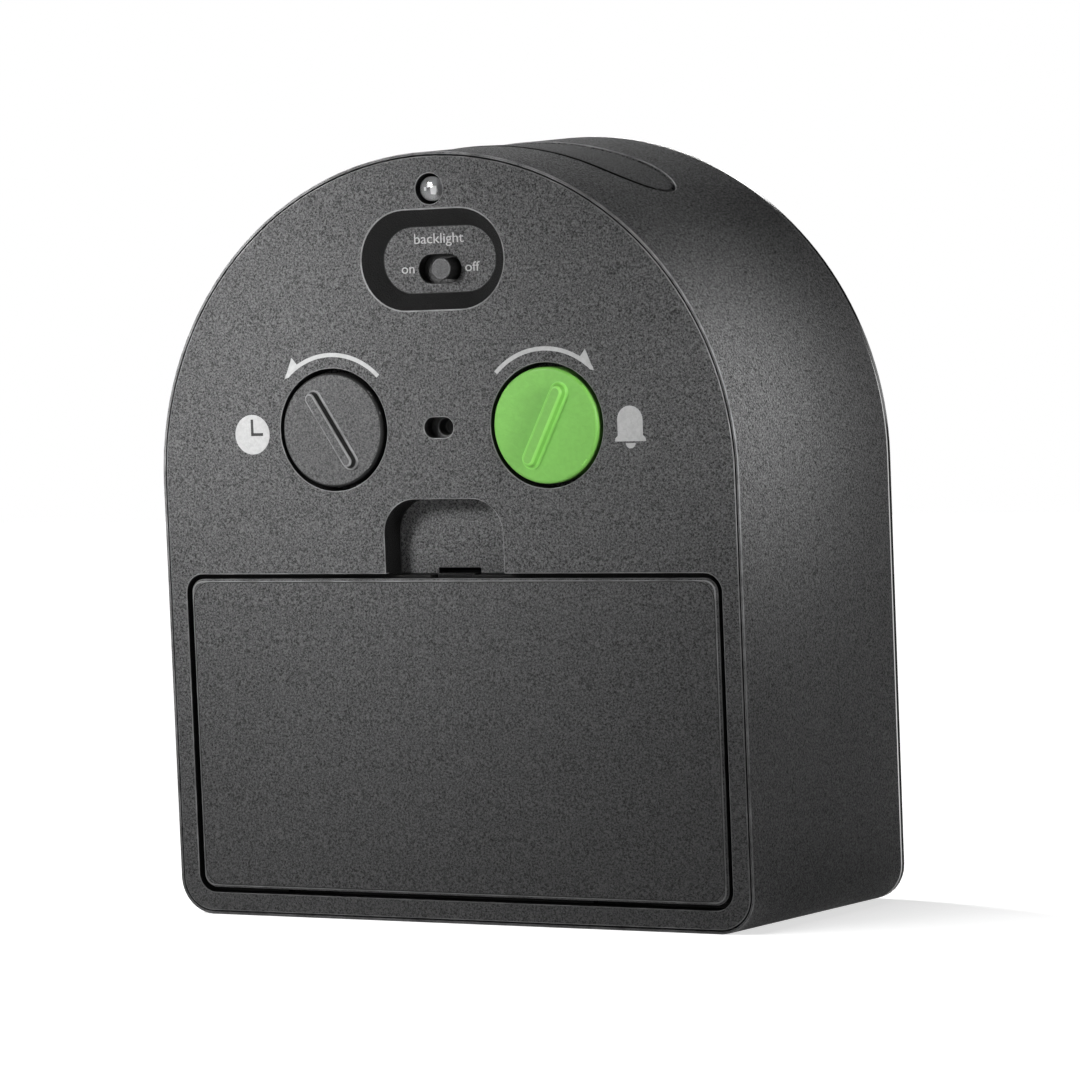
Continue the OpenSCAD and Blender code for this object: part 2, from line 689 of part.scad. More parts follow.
// Front rim with bevelled edges, glued on the end of the case
module front_bezel() {
  color([0.03, 0.03, 0.03]) difference() {
    hull() {
      body_slice(rim_bevel, shell_z1);
      body_slice(0, shell_z1 + rim_bevel);
      body_slice(0, body_depth - rim_bevel);
      body_slice(rim_bevel, body_depth - 0.01);
    }
    body_form(rim_w, shell_z1 - cut, body_depth + cut);
  }
}
module lens() {
  color([0.85, 0.92, 0.95, 0.35]) body_form(inside, lens_z, shell_z1);
}
module light_guide() {
  color([0.93, 0.93, 0.9]) difference() {
    body_form(inside, guide_z, lens_z);
    body_form(inside + guide_w, guide_z - cut, lens_z + cut);
    block(-led_half - 0.3, led_half + 0.3, arch_y + half_at(guide_z) - inside - 1.8,
      arch_y + beyond, guide_z - cut, guide_z + led_t + 0.3);
  }
}
module backlight_led() {
  color([0.95, 0.9, 0.6]) block(-led_half, led_half, arch_y + half_at(guide_z) - inside - 1.5,
    arch_y + half_at(guide_z) - inside - 0.3, guide_z, guide_z + led_t);
}
module dial() {
  color([0.93, 0.93, 0.92]) difference() {
    body_form(inside, dial_z, guide_z);
    bore(axis, bush_out + 0.15, dial_z, guide_z);
  }
}
module dial_nut() {
  color([0.75, 0.7, 0.5]) difference() {
    translate([axis[0], axis[1], guide_z]) cylinder(r = bush_out + 1.6, h = nut_t, $fn = 6);
    bore(axis, bush_out + 0.02, guide_z, guide_z + nut_t);
  }
}

// Boards and what is on them
module circuit_board() {
  color([0.1, 0.35, 0.18]) translate([0, 0, board_z]) linear_extrude(board_t) polygon([
    [-board_half, board_y0], [board_half, board_y0], [board_half, board_y0 + board_side],
    [board_half - 3, sensor_y - 0.6], [5, sensor_y - 0.6], [5, sensor_y + 2.3],
    [-5, sensor_y + 2.3], [-5, sensor_y - 0.6], [3 - board_half, sensor_y - 0.6],
    [-board_half, board_y0 + board_side]]);
}
module switch_body() {
  color([0.75, 0.76, 0.78]) difference() {
    block(-4.6, 4.6, slide_y - 2.3, slide_y + 2.3, switch_z, board_z);
    block(-slide_travel / 2 - 0.9, slide_travel / 2 + 0.9, slide_y - 1.4, slide_y + 1.4,
      switch_z - cut, switch_z + 2);
  }
}
module slide_button() {
  x = -slide_travel / 2;
  color([0.08, 0.08, 0.08]) {
    post(x, slide_y, button_r, 0, flange_z + 0.3);
    block(x - 6, x + 6, slide_y - 3, slide_y + 3, flange_z, flange_z + flange_t);
    block(x - 0.5, x + 0.5, slide_y - 1, slide_y + 1, flange_z + 0.3, switch_z + 1.4);
  }
}
module light_sensor() {
  color([0.85, 0.9, 0.92, 0.6]) {
    post(0, sensor_y, sensor_r, sensor_dome_z + sensor_r, sensor_flange_z);
    translate([0, sensor_y, sensor_dome_z + sensor_r]) sphere(r = sensor_r);
    post(0, sensor_y, sensor_r + 0.3, sensor_flange_z - 0.8, sensor_flange_z);
    for (s = [-1, 1]) block(s * 0.9 - 0.25, s * 0.9 + 0.25, sensor_y - 0.25,
      sensor_y + 0.25, sensor_flange_z - 0.1, board_z);
  }
}
module buzzer() {
  color([0.12, 0.12, 0.12]) difference() {
    post(sound_x, knob_y, buzzer_r, cover_t, cover_t + buzzer_h);
    post(sound_x, knob_y, 1.2, cover_t - cut, cover_t + 2);
  }
}

// Snooze pad wrapped over the top of the arch, with its board and key switch
module pad_cone(drop) {
  translate([0, arch_y, pad_z0 - 2]) cylinder(
    r1 = pad_r0 - drop - 2 * (pad_r1 - pad_r0) / (pad_z1 - pad_z0),
    r2 = pad_r1 - drop + 2 * (pad_r1 - pad_r0) / (pad_z1 - pad_z0),
    h = pad_z1 - pad_z0 + 4, $fn = 180);
}
module snooze_pad() {
  color([0.11, 0.11, 0.115]) {
    difference() {
      intersection() {
        pad_cone(0);
        pad_prism(pad_r, arch_y + half_w / 2, arch_y + half_w + 10);
      }
      intersection() {
        pad_cone(pad_t);
        pad_prism(pad_r - pad_skirt_t, arch_y + half_w / 2 - 1, arch_y + half_w + 10);
      }
      pad_cone(pad_skirt);
    }
    translate([0, pad_foot_y, pad_z]) rotate([-90, 0, 0])
      cylinder(r = 2, h = pad_top - pad_foot_y - pad_t + 0.8);
    for (s = [-1, 1], e = [-1, 1]) pad_leg(s, e);
  }
}
module pad_leg(side, end) {
  z = pad_z + end * (pad_r - pad_skirt_t / 2);
  along_x(side * leg_x - leg_w / 2, side * leg_x + leg_w / 2) polygon([
    [hook_y + 2, z - end * 0.8], [hook_y + 2, z + end * 0.7], [hook_y, z + end * 0.7],
    [hook_y, z + end * 1.9], [hook_y - 1.6, z + end * 0.6], [hook_y - 1.6, z - end * 0.8]]);
}
module snooze_board() {
  color([0.1, 0.35, 0.18]) block(-snooze_half, snooze_half, snooze_y, snooze_y + snooze_board_t,
    snooze_posts_z[0] - 1.8, snooze_posts_z[1] + 1.8);
}
module snooze_switch() {
  color([0.2, 0.2, 0.2]) {
    block(-3, 3, snooze_y + snooze_board_t, tact_top_y - plunger_h, pad_z - 3, pad_z + 3);
    translate([0, tact_top_y - plunger_h - 0.2, pad_z]) rotate([-90, 0, 0])
      cylinder(r = 1.75, h = plunger_h + 0.2);
  }
}

// Cells, contacts and cover screws
module battery_cell(row) {
  y = cell_y + row * cell_pitch;
  s = row == 0 ? -1 : 1;
  color([0.75, 0.7, 0.35]) translate([-s * cell_l / 2, y, cell_z]) rotate([0, s * 90, 0])
    rotate_extrude() polygon([
      [0, 0], [cell_r - 0.8, 0], [cell_r, 0.6], [cell_r, cell_l - nub_l - 0.6],
      [cell_r - 0.8, cell_l - nub_l], [nub_r, cell_l - nub_l], [nub_r, cell_l], [0, cell_l]]);
}
module battery_bottom() { battery_cell(-1); }
module battery_middle() { battery_cell(0); }
module battery_top() { battery_cell(1); }
module contact_set(side) {
  color([0.8, 0.8, 0.82]) for (row = [-1:1]) contact_strip(side, row);
}
module contact_strip(side, row) {
  y = cell_y + row * cell_pitch;
  wall_x = tray_half_x;
  tip_x = cell_l / 2;
  bend_z = cell_z - leaf_reach;
  along_y(y - leaf_half, y + leaf_half) polygon([for (p = [
    [wall_x, cell_z + leaf_reach], [wall_x, bend_z], [wall_x - 1.2, bend_z - 1],
    [tip_x, cell_z - 1], [tip_x, cell_z + 1], [tip_x + 1, cell_z + 3.4],
    [tip_x + 1 + leaf_t, cell_z + 3.4], [tip_x + leaf_t, cell_z + 1],
    [tip_x + leaf_t, cell_z - 1 + leaf_t * 0.3],
    [wall_x - 1.2, bend_z - 1 + leaf_t * 1.6], [wall_x - leaf_t, bend_z + leaf_t * 0.5],
    [wall_x - leaf_t, cell_z + leaf_reach]]) [side * p[0], p[1]]]);
}
module battery_contacts_left() { contact_set(-1); }
module battery_contacts_right() { contact_set(1); }
module cover_screws() {
  color([0.7, 0.7, 0.72]) for (s = [-1, 1], y = screw_y) difference() {
    union() {
      post(s * screw_x, y, screw_head_r, screw_seat_z - 1.8, screw_seat_z);
      post(s * screw_x, y, screw_core_r, screw_seat_z - 0.5, screw_z1);
    }
    for (a = [0, 90]) translate([s * screw_x, y, screw_seat_z - 2.8]) rotate([0, 0, a])
      translate([-1.7, -0.35, 0]) cube([3.4, 0.7, 2]);
  }
}

// Knobs on their setting shafts
module knob(at, turn, grip_w) {
  face = -knob_proud;
  back = knob_t - knob_proud;
  translate([at[0], at[1], 0]) difference() {
    union() {
      rotate_extrude() {
        polygon([[0, face], [knob_r - knob_round, face], [knob_r - knob_round, face + knob_round],
          [knob_r, face + knob_round], [knob_r, back], [0, back]]);
        translate([knob_r - knob_round, face + knob_round]) circle(r = knob_round, $fn = 48);
      }
      cylinder(r = hub_r, h = hub_z1);
      rotate([0, 0, 90 + turn]) pill_taper((grip_l - grip_w) / 2,
        grip_w / 2 - grip_draft, grip_w / 2, face - grip_h, face + 0.01);
    }
    translate([0, 0, back - 1.4]) cylinder(r = shaft_r, h = hub_z1);
  }
}
module time_knob() { color([0.09, 0.09, 0.09]) knob(time_at, -time_grip_turn, time_grip_w); }
module alarm_knob() { color([0.35, 0.7, 0.25]) knob(alarm_at, alarm_grip_turn, alarm_grip_w); }
module set_shaft(at) {
  post(at[0], at[1], shaft_r, knob_t - knob_proud - 1.4, front_z + plate_t - 0.2);
}
module time_set_pinion() {
  color([0.85, 0.83, 0.78]) {
    set_shaft(time_at);
    gear(time_at, set_teeth, set_module, time_phase, minute_z - pinion_over,
      wheel_t + 2 * pinion_over);
  }
}
module alarm_set_pinion() {
  color([0.85, 0.83, 0.78]) {
    set_shaft(alarm_at);
    gear(alarm_at, alarm_pinion_teeth, alarm_module, alarm_phase, alarm_z - pinion_over,
      wheel_t + 2 * pinion_over - 0.1);
  }
}

// Movement frame: rear plate with pillars, middle bridge and front plate with the dial bush
module movement_rear_plate() {
  color([0.82, 0.8, 0.72]) difference() {
    union() {
      block(-plate_half, plate_half, plate_y0, plate_y1, plate_z, gear_z);
      for (s = [-1, 1], y = pillar_ys) post(s * pillar_x, y, pillar_r, gear_z - 0.2, front_z);
      for (s = [-1, 1]) {
        post(s * (stator_half - 1.5), rotor_at[1], stator_post_r, gear_z - 0.2, stator_z);
        post(s * (stator_half - 1.5), rotor_at[1], stator_pin_r, stator_z - 0.2, middle_z);
      }
      for (p = bridge_posts) post(p[0], arch_y + p[1], 1.2, gear_z - 0.2, middle_z);
      post(fifth_at[0], fifth_at[1], pivot_r, gear_z - 0.2, fourth_z + wheel_t + 0.5);
      post(contact_at[0], contact_at[1], 1.3, gear_z - 0.2, contact_z);
    }
    for (at = [time_at, alarm_at]) bore(at, shaft_r + running, plate_z, gear_z);
    bore(axis, second_r + running, plate_z, gear_z);
    for (at = [third_at, rotor_at]) bore(at, pivot_r + running, plate_z, gear_z);
  }
}
module movement_middle_plate() {
  color([0.78, 0.76, 0.68]) difference() {
    union() {
      block(bridge_x0, bridge_x1, bridge_y0, bridge_y1, middle_z, middle_z + middle_t);
      post(minute_at[0], minute_at[1], minute_stud_r, middle_z, hour_z + wheel_t + 0.5);
    }
    bore(time_at, shaft_r + running, middle_z, middle_z + middle_t);
    bore(axis, cannon_out + running, middle_z, middle_z + middle_t);
    for (at = [third_at, rotor_at]) bore(at, pivot_r + running, middle_z, middle_z + middle_t);
  }
}
module movement_front_plate() {
  color([0.82, 0.8, 0.72]) difference() {
    union() {
      block(-plate_half, plate_half, plate_y0, plate_y1, front_z, front_z + plate_t);
      post(axis[0], axis[1], bush_out, front_z, bush_z1);
      for (s = [-1, 1], y = pillar_ys)
        post(s * pillar_x, y, pillar_r, front_z + plate_t - 0.2, dial_z);
    }
    for (at = [time_at, alarm_at]) bore(at, shaft_r + running, front_z, front_z + plate_t);
    bore(axis, bush_in, front_z, bush_z1);
  }
}
module alarm_contact() {
  color([0.85, 0.7, 0.35]) translate([contact_at[0], contact_at[1], contact_z]) {
    linear_extrude(leaf_t * 0.75) polygon([
      [-contact_foot, -contact_foot], [contact_foot, -contact_foot], contact_tip,
      contact_tip + [-1, 1.4], [-contact_foot, contact_foot]]);
  }
}

// Motor and the train of the second hand
module stator() {
  color([0.6, 0.6, 0.62]) difference() {
    union() {
      block(-stator_half, stator_half, stator_y0, stator_y1, stator_z, stator_z + stator_t);
      block(-stator_half, stator_half, core_y - 1, core_y + 1, stator_z, stator_z + stator_t);
      for (s = [-1, 1]) block(s * (stator_half - stator_arm / 2) - stator_arm / 2,
        s * (stator_half - stator_arm / 2) + stator_arm / 2, stator_y1 - 1, core_y + 1,
        stator_z, stator_z + stator_t);
    }
    bore(rotor_at, magnet_r + 0.4, stator_z, stator_z + stator_t);
    for (s = [-1, 1]) bore([s * (stator_half - 1.5), rotor_at[1]], stator_pin_r + 0.05,
      stator_z, stator_z + stator_t);
  }
}
module coil() {
  z = stator_z + stator_t / 2;
  color([0.75, 0.4, 0.2]) difference() {
    union() {
      translate([-coil_half, core_y, z]) rotate([0, 90, 0]) cylinder(r = coil_r - 0.4,
        h = 2 * coil_half);
      for (s = [-1, 1]) translate([s * (coil_half - 0.4) - 0.4, core_y, z]) rotate([0, 90, 0])
        cylinder(r = coil_r, h = 0.8);
    }
    block(-coil_half - cut, coil_half + cut, core_y - 1.05, core_y + 1.05,
      stator_z - 0.05, stator_z + stator_t + 0.05);
  }
}
module rotor() {
  color([0.35, 0.35, 0.4]) {
    post(rotor_at[0], rotor_at[1], pivot_r, plate_z + 0.3, middle_z + middle_t - 0.1);
    gear(rotor_at, rotor_teeth, rotor_module, rotor_phase, fifth_z - 0.15, wheel_t + 0.3);
    post(rotor_at[0], rotor_at[1], magnet_r, stator_z - 0.2, stator_z + stator_t + 0.2);
  }
}
module fifth_wheel() {
  color([0.9, 0.88, 0.8]) difference() {
    union() {
      wheel(fifth_at, fifth_teeth, rotor_module, 0, fifth_z);
      gear(fifth_at, fifth_pinion, second_module, fifth_phase, fifth_z + wheel_t - 0.1,
        wheel_t + 0.55);
    }
    bore(fifth_at, pivot_r + running, fifth_z, fourth_z + wheel_t + 1);
  }
}
module fourth_wheel() {
  color([0.9, 0.88, 0.8]) {
    wheel(axis, fourth_teeth, second_module, 0, fourth_z);
    gear(axis, fourth_pinion, second_module, 0, fourth_z + wheel_t - 0.1, wheel_t + 0.9);
    post(axis[0], axis[1], second_r, plate_z + 0.3, second_hand_z + hand_t);
  }
}
module third_wheel() {
  color([0.9, 0.88, 0.8]) {
    wheel(third_at, third_teeth, second_module, third_phase, third_z);
    gear(third_at, third_pinion, centre_module, 0, third_z + wheel_t - 0.1,
      middle_z - third_z - wheel_t - 0.1);
    post(third_at[0], third_at[1], pivot_r, plate_z + 0.3, middle_z + middle_t - 0.1);
  }
}
module centre_wheel() {
  color([0.9, 0.88, 0.8]) difference() {
    union() {
      wheel(axis, centre_teeth, centre_module, centre_phase, centre_z);
      post(axis[0], axis[1], cannon_out + 0.8, centre_z - 0.2, centre_z + wheel_t + 0.2);
    }
    bore(axis, cannon_out + running, centre_z, centre_z + wheel_t);
  }
}

// Motion work behind the dial
module minute_wheel() {
  color([0.88, 0.85, 0.75]) difference() {
    union() {
      wheel(minute_at, minute_teeth, set_module, 0, minute_z);
      gear(minute_at, minute_pinion, hour_module, 0, minute_z + wheel_t - 0.1,
        hour_z - minute_z + 0.5);
    }
    bore(minute_at, minute_stud_r + running, minute_z, hour_z + wheel_t + 1);
  }
}
module cannon_pinion() {
  color([0.85, 0.75, 0.45]) difference() {
    union() {
      post(axis[0], axis[1], cannon_out, centre_z - 0.4, minute_hand_z + hand_t);
      gear(axis, set_teeth, set_module, cannon_phase, minute_z - pinion_over,
        wheel_t + pinion_over + 0.2);
    }
    bore(axis, cannon_in, centre_z - 0.4, minute_hand_z + hand_t);
  }
}
module hour_wheel() {
  color([0.88, 0.85, 0.75]) difference() {
    union() {
      wheel(axis, hour_teeth, hour_module, hour_phase, hour_z);
      post(axis[0], axis[1], hour_out, hour_z, hour_hand_z + hand_t);
    }
    bore(axis, hour_in, hour_z, hour_hand_z + hand_t);
  }
}
module alarm_wheel() {
  color([0.88, 0.85, 0.75]) difference() {
    union() {
      wheel(axis, alarm_teeth, alarm_module, 0, alarm_z);
      post(axis[0], axis[1], alarm_out, alarm_z, alarm_hand_z + hand_t);
    }
    bore(axis, alarm_in, alarm_z, alarm_hand_z + hand_t);
  }
}

// Hands, turned clockwise from the top as seen from the dial side
module hand(clock_turn, length, w0, w1, tail, hub, hole, z) {
  translate([axis[0], axis[1], z]) rotate([0, 0, -clock_turn]) difference() {
    linear_extrude(hand_t) {
      polygon([[-w0 / 2, -tail], [w0 / 2, -tail], [w1 / 2, length - w1 / 2],
        [0, length], [-w1 / 2, length - w1 / 2]]);
      circle(r = hub);
    }
    translate([0, 0, -cut]) cylinder(r = hole, h = hand_t + 2 * cut);
  }
}
module second_hand() {
  color([0.85, 0.85, 0.85]) hand(210, second_l, 1.2, 0.6, 9, 1.8, second_r, second_hand_z);
}
module minute_hand() {
  color([0.08, 0.08, 0.08]) hand(60, minute_l, 3, 2.2, 6, 2.9, cannon_out, minute_hand_z);
}
module hour_hand() {
  color([0.08, 0.08, 0.08]) hand(305, hour_l, 3.6, 2.8, 5, 3.4, hour_out, hour_hand_z);
}
module alarm_hand() {
  color([0.35, 0.7, 0.25]) hand(195, alarm_l, 1.8, 1.2, 0, 3.9, alarm_out, alarm_hand_z);
}

// Stands the bench drawing on its base, with the origin in the middle of the footprint
module stand() {
  translate([0, foot / 2, 0]) rotate([90 - lean, 0, 0]) children();
}

stand() case_shell();
stand() rear_cover();
stand() battery_door();
stand() front_bezel();
stand() lens();
stand() light_guide();
stand() backlight_led();
stand() dial();
stand() dial_nut();
stand() circuit_board();
stand() switch_body();
stand() slide_button();
stand() light_sensor();
stand() buzzer();
stand() snooze_pad();
stand() snooze_board();
stand() snooze_switch();
stand() battery_contacts_left();
stand() battery_contacts_right();
stand() battery_bottom();
stand() battery_middle();
stand() battery_top();
stand() cover_screws();
stand() time_knob();
stand() time_set_pinion();
stand() alarm_knob();
stand() alarm_set_pinion();
stand() movement_rear_plate();
stand() movement_middle_plate();
stand() movement_front_plate();
stand() stator();
stand() coil();
stand() rotor();
stand() fifth_wheel();
stand() fourth_wheel();
stand() third_wheel();
stand() centre_wheel();
stand() minute_wheel();
stand() cannon_pinion();
stand() hour_wheel();
stand() alarm_wheel();
stand() alarm_contact();
stand() second_hand();
stand() minute_hand();
stand() hour_hand();
stand() alarm_hand();
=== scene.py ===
import json
import math

import bmesh
import bpy
from mathutils import Matrix, Vector


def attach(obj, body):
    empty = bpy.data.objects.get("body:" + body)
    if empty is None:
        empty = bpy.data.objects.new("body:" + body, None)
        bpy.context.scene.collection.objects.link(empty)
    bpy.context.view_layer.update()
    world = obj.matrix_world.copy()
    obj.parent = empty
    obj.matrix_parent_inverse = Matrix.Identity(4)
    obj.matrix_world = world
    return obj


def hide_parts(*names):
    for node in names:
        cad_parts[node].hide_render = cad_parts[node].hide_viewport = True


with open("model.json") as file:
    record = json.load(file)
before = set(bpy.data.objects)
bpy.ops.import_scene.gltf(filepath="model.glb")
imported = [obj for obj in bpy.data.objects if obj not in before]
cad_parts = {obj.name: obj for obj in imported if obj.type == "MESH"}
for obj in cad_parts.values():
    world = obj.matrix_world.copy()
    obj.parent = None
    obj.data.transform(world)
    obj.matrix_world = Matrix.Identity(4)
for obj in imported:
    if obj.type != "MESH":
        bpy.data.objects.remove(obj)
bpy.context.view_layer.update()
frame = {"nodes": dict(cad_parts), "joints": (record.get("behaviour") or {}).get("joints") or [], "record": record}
nodes = frame["nodes"]
scene = bpy.context.scene
print("frame loaded with", len(nodes), "CAD nodes")

# The clock's own frame, in millimetres: x to the right as seen from the dial, y up the rear face,
# and z from the rear face towards the dial
caseForm = {
    "doorBottom": 4.01,  # height of the door's hinge line above the rear bottom edge
    "archY": 63.85,      # centre of the arch, and of the dial
    "recessZ": 2.4,      # floor of the switch recess
    "dialZ": 42.35,      # front of the dial sheet
    "knobX": 17.23,
    "knobY": 71.2,
}
millimetre = 0.001


def jointNamed(name):
    return next(joint for joint in frame["joints"] if joint["name"] == name)


towardsDial = Vector(jointNamed("alarm_set")["axis"]).normalized()
upTheFace = towardsDial.cross(Vector((1, 0, 0))).normalized()
hingeLine = Vector(jointNamed("door_swing")["pos_m"])
rearBottom = hingeLine - upTheFace * caseForm["doorBottom"] * millimetre
clockAxes = Matrix((Vector((1, 0, 0)), upTheFace, towardsDial)).transposed().to_4x4()
clockToRow = Matrix.Translation(rearBottom) @ clockAxes @ Matrix.Scale(millimetre, 4)
faceBack = Matrix.Rotation(math.pi, 4, "Y")  # turns flat print so that it reads from behind


# Node helpers
def newGroup(name, inputs, outputs):
    group = bpy.data.node_groups.new(name, "ShaderNodeTree")
    for label, kind, value in inputs:
        socket = group.interface.new_socket(label, in_out="INPUT", socket_type=kind)
        socket.default_value = value
    for label, kind in outputs:
        group.interface.new_socket(label, in_out="OUTPUT", socket_type=kind)
    return group, group.nodes.new("NodeGroupInput"), group.nodes.new("NodeGroupOutput")


def addNode(tree, kind, settings=None, **values):
    node = tree.nodes.new(kind)
    for key, value in (settings or {}).items():
        setattr(node, key, value)
    for key, value in values.items():
        node.inputs[key.replace("_", " ")].default_value = value
    return node


def plugIn(tree, value, socket):
    # A number is set on the socket, and another node's output is linked to it
    if isinstance(value, (int, float)):
        socket.default_value = value
    else:
        tree.links.new(value, socket)


def mathNode(tree, operation, a, b=None, clamp=False):
    node = addNode(tree, "ShaderNodeMath", {"operation": operation, "use_clamp": clamp})
    plugIn(tree, a, node.inputs[0])
    if b is not None:
        plugIn(tree, b, node.inputs[1])
    return node.outputs[0]


def objectPlace(tree):
    return addNode(tree, "ShaderNodeTexCoord").outputs["Object"]


def noiseMask(tree, scale, detail=2.0, roughness=0.5, distortion=0.0, at=None):
    # Noise in the object's own coordinates, or in those that are given
    noise = addNode(tree, "ShaderNodeTexNoise", Detail=detail, Roughness=roughness, Distortion=distortion)
    plugIn(tree, scale, noise.inputs["Scale"])
    tree.links.new(at or objectPlace(tree), noise.inputs["Vector"])
    return noise.outputs["Fac"]


noiseRange = (0.3, 0.7)  # nearly all values of a noise lie between these


def spread(tree, value, low, high, newLow=0.0, newHigh=1.0):
    node = addNode(tree, "ShaderNodeMapRange", From_Min=low, From_Max=high, To_Min=newLow, To_Max=newHigh)
    tree.links.new(value, node.inputs["Value"])
    return node.outputs["Result"]


# The tooth is finer than the cells by its rate, the gain stretches the relief to a full mask, and the tone
# drifts over a few centimetres
grainForm = {"toothRate": 2.6, "reliefGain": 2.6, "driftScale": 38.0}


def buildMouldGrain():
    # Spark-eroded mould grain: soft leathery cells with a finer tooth on top
    group, give, take = newGroup("mouldGrain", [
        ("Cell Size", "NodeSocketFloat", 0.0005), ("Tooth", "NodeSocketFloat", 0.35)],
        [("Height", "NodeSocketFloat"), ("Relief", "NodeSocketFloat"), ("Tone", "NodeSocketFloat")])
    rate = mathNode(group, "DIVIDE", 1.0, give.outputs["Cell Size"])
    toothRate = mathNode(group, "MULTIPLY", rate, grainForm["toothRate"])
    cells = noiseMask(group, rate, detail=1.5, roughness=0.55, distortion=0.6)
    tooth = noiseMask(group, toothRate, roughness=0.7)
    height = mathNode(group, "ADD", cells, mathNode(group, "MULTIPLY", tooth, give.outputs["Tooth"]))
    middle = mathNode(group, "ADD", mathNode(group, "MULTIPLY", give.outputs["Tooth"], 0.5), 0.5)
    relief = mathNode(group, "MULTIPLY", mathNode(group, "SUBTRACT", height, middle), grainForm["reliefGain"])
    group.links.new(height, take.inputs["Height"])
    group.links.new(mathNode(group, "ADD", relief, 0.5, clamp=True), take.inputs["Relief"])
    group.links.new(noiseMask(group, grainForm["driftScale"]), take.inputs["Tone"])
    return group


def buildEdgeWear():
    # A broken mask that comes and goes along an edge, for the rounded edge faces: on plastic it marks where wear
    # adds to the painted edge highlight, on metal where it is rubbed bright
    group, give, take = newGroup("edgeWearAndHighlight", [
        ("Amount", "NodeSocketFloat", 0.5), ("Patch Size", "NodeSocketFloat", 0.004)],
        [("Mask", "NodeSocketFloat")])
    rate = mathNode(group, "DIVIDE", 1.0, give.outputs["Patch Size"])
    broken = spread(group, noiseMask(group, rate, detail=3.0, roughness=0.65), *noiseRange)
    mask = mathNode(group, "MULTIPLY", broken, give.outputs["Amount"], clamp=True)
    group.links.new(mask, take.inputs["Mask"])
    return group


# Dust gathers where the surface looks upward enough, in the brightest specks of a fine noise
dustForm = {"upFrom": 0.5, "speckScale": 900.0, "speckRange": (0.62, 0.78)}


def buildDust():
    # Sparse fine dust that settles on upward faces
    p = dustForm
    group, give, take = newGroup("restingDust", [("Amount", "NodeSocketFloat", 0.3)],
                                 [("Mask", "NodeSocketFloat")])
    shape = addNode(group, "ShaderNodeNewGeometry")
    split = addNode(group, "ShaderNodeSeparateXYZ")
    group.links.new(shape.outputs["Normal"], split.inputs["Vector"])
    upward = spread(group, split.outputs["Z"], p["upFrom"], 1.0)
    few = spread(group, noiseMask(group, p["speckScale"], detail=4.0, roughness=0.8), *p["speckRange"])
    both = mathNode(group, "MULTIPLY", upward, few)
    mask = mathNode(group, "MULTIPLY", both, give.outputs["Amount"], clamp=True)
    group.links.new(mask, take.inputs["Mask"])
    return group


depthBlend = 0.00025  # metres over which a surface changes to its deeper look


def buildRearFaces():
    # Facing: 1 where the surface looks to the rear of the clock, 0 on walls
    # Deep: 1 where the surface is further below the rear face than Level
    group, give, take = newGroup("rearFaces", [
        ("Wall", "NodeSocketFloat", 0.86), ("Face", "NodeSocketFloat", 0.97),
        ("Level", "NodeSocketFloat", 0.0015), ("Depth Axis", "NodeSocketVector", tuple(towardsDial)),
        ("Origin", "NodeSocketVector", tuple(rearBottom))],
        [("Facing", "NodeSocketFloat"), ("Deep", "NodeSocketFloat")])
    place = addNode(group, "ShaderNodeTexCoord")
    match = addNode(group, "ShaderNodeVectorMath", {"operation": "DOT_PRODUCT"})
    group.links.new(place.outputs["Normal"], match.inputs[0])
    group.links.new(give.outputs["Depth Axis"], match.inputs[1])
    ramp = addNode(group, "ShaderNodeMapRange")
    group.links.new(mathNode(group, "MULTIPLY", match.outputs["Value"], -1.0), ramp.inputs["Value"])
    group.links.new(give.outputs["Wall"], ramp.inputs["From Min"])
    group.links.new(give.outputs["Face"], ramp.inputs["From Max"])
    group.links.new(ramp.outputs["Result"], take.inputs["Facing"])
    away = addNode(group, "ShaderNodeVectorMath", {"operation": "SUBTRACT"})
    group.links.new(place.outputs["Object"], away.inputs[0])
    group.links.new(give.outputs["Origin"], away.inputs[1])
    along = addNode(group, "ShaderNodeVectorMath", {"operation": "DOT_PRODUCT"})
    group.links.new(away.outputs["Vector"], along.inputs[0])
    group.links.new(give.outputs["Depth Axis"], along.inputs[1])
    beyond = mathNode(group, "SUBTRACT", along.outputs["Value"], give.outputs["Level"])
    group.links.new(mathNode(group, "MULTIPLY", beyond, 1 / depthBlend, clamp=True), take.inputs["Deep"])
    return group


rearFaces = buildRearFaces()
mouldGrain = buildMouldGrain()
edgeWearAndHighlight = buildEdgeWear()
restingDust = buildDust()
print("shared effects made")


def newMaterial(name, **surface):
    material = bpy.data.materials.new(name)
    material.use_nodes = True
    tree = material.node_tree
    shader = tree.nodes["Principled BSDF"]
    for key, value in surface.items():
        shader.inputs[key.replace("_", " ")].default_value = value
    return material, tree, shader


def placeGroup(tree, group, **values):
    node = tree.nodes.new("ShaderNodeGroup")
    node.node_tree = group
    for key, value in values.items():
        node.inputs[key.replace("_", " ")].default_value = value
    return node


def mixColours(tree, mask, low, high):
    mix = addNode(tree, "ShaderNodeMix", {"data_type": "RGBA"})
    for socket, value in ((mix.inputs["A"], low), (mix.inputs["B"], high)):
        if isinstance(value, tuple):
            socket.default_value = (*value, 1)
        else:
            tree.links.new(value, socket)
    tree.links.new(mask, mix.inputs["Factor"])
    return mix.outputs["Result"]


def linkColour(tree, shader, colour):
    tree.links.new(colour, shader.inputs["Base Color"])


def linkRoughness(tree, shader, mask, low, high):
    tree.links.new(spread(tree, mask, *noiseRange, low, high), shader.inputs["Roughness"])


def linkBump(tree, shader, height, depth):
    bump = addNode(tree, "ShaderNodeBump", Strength=1.0, Distance=depth)
    tree.links.new(height, bump.inputs["Height"])
    tree.links.new(bump.outputs["Normal"], shader.inputs["Normal"])


def scaled(colour, factor):
    return tuple(min(1.0, c * factor) for c in colour)


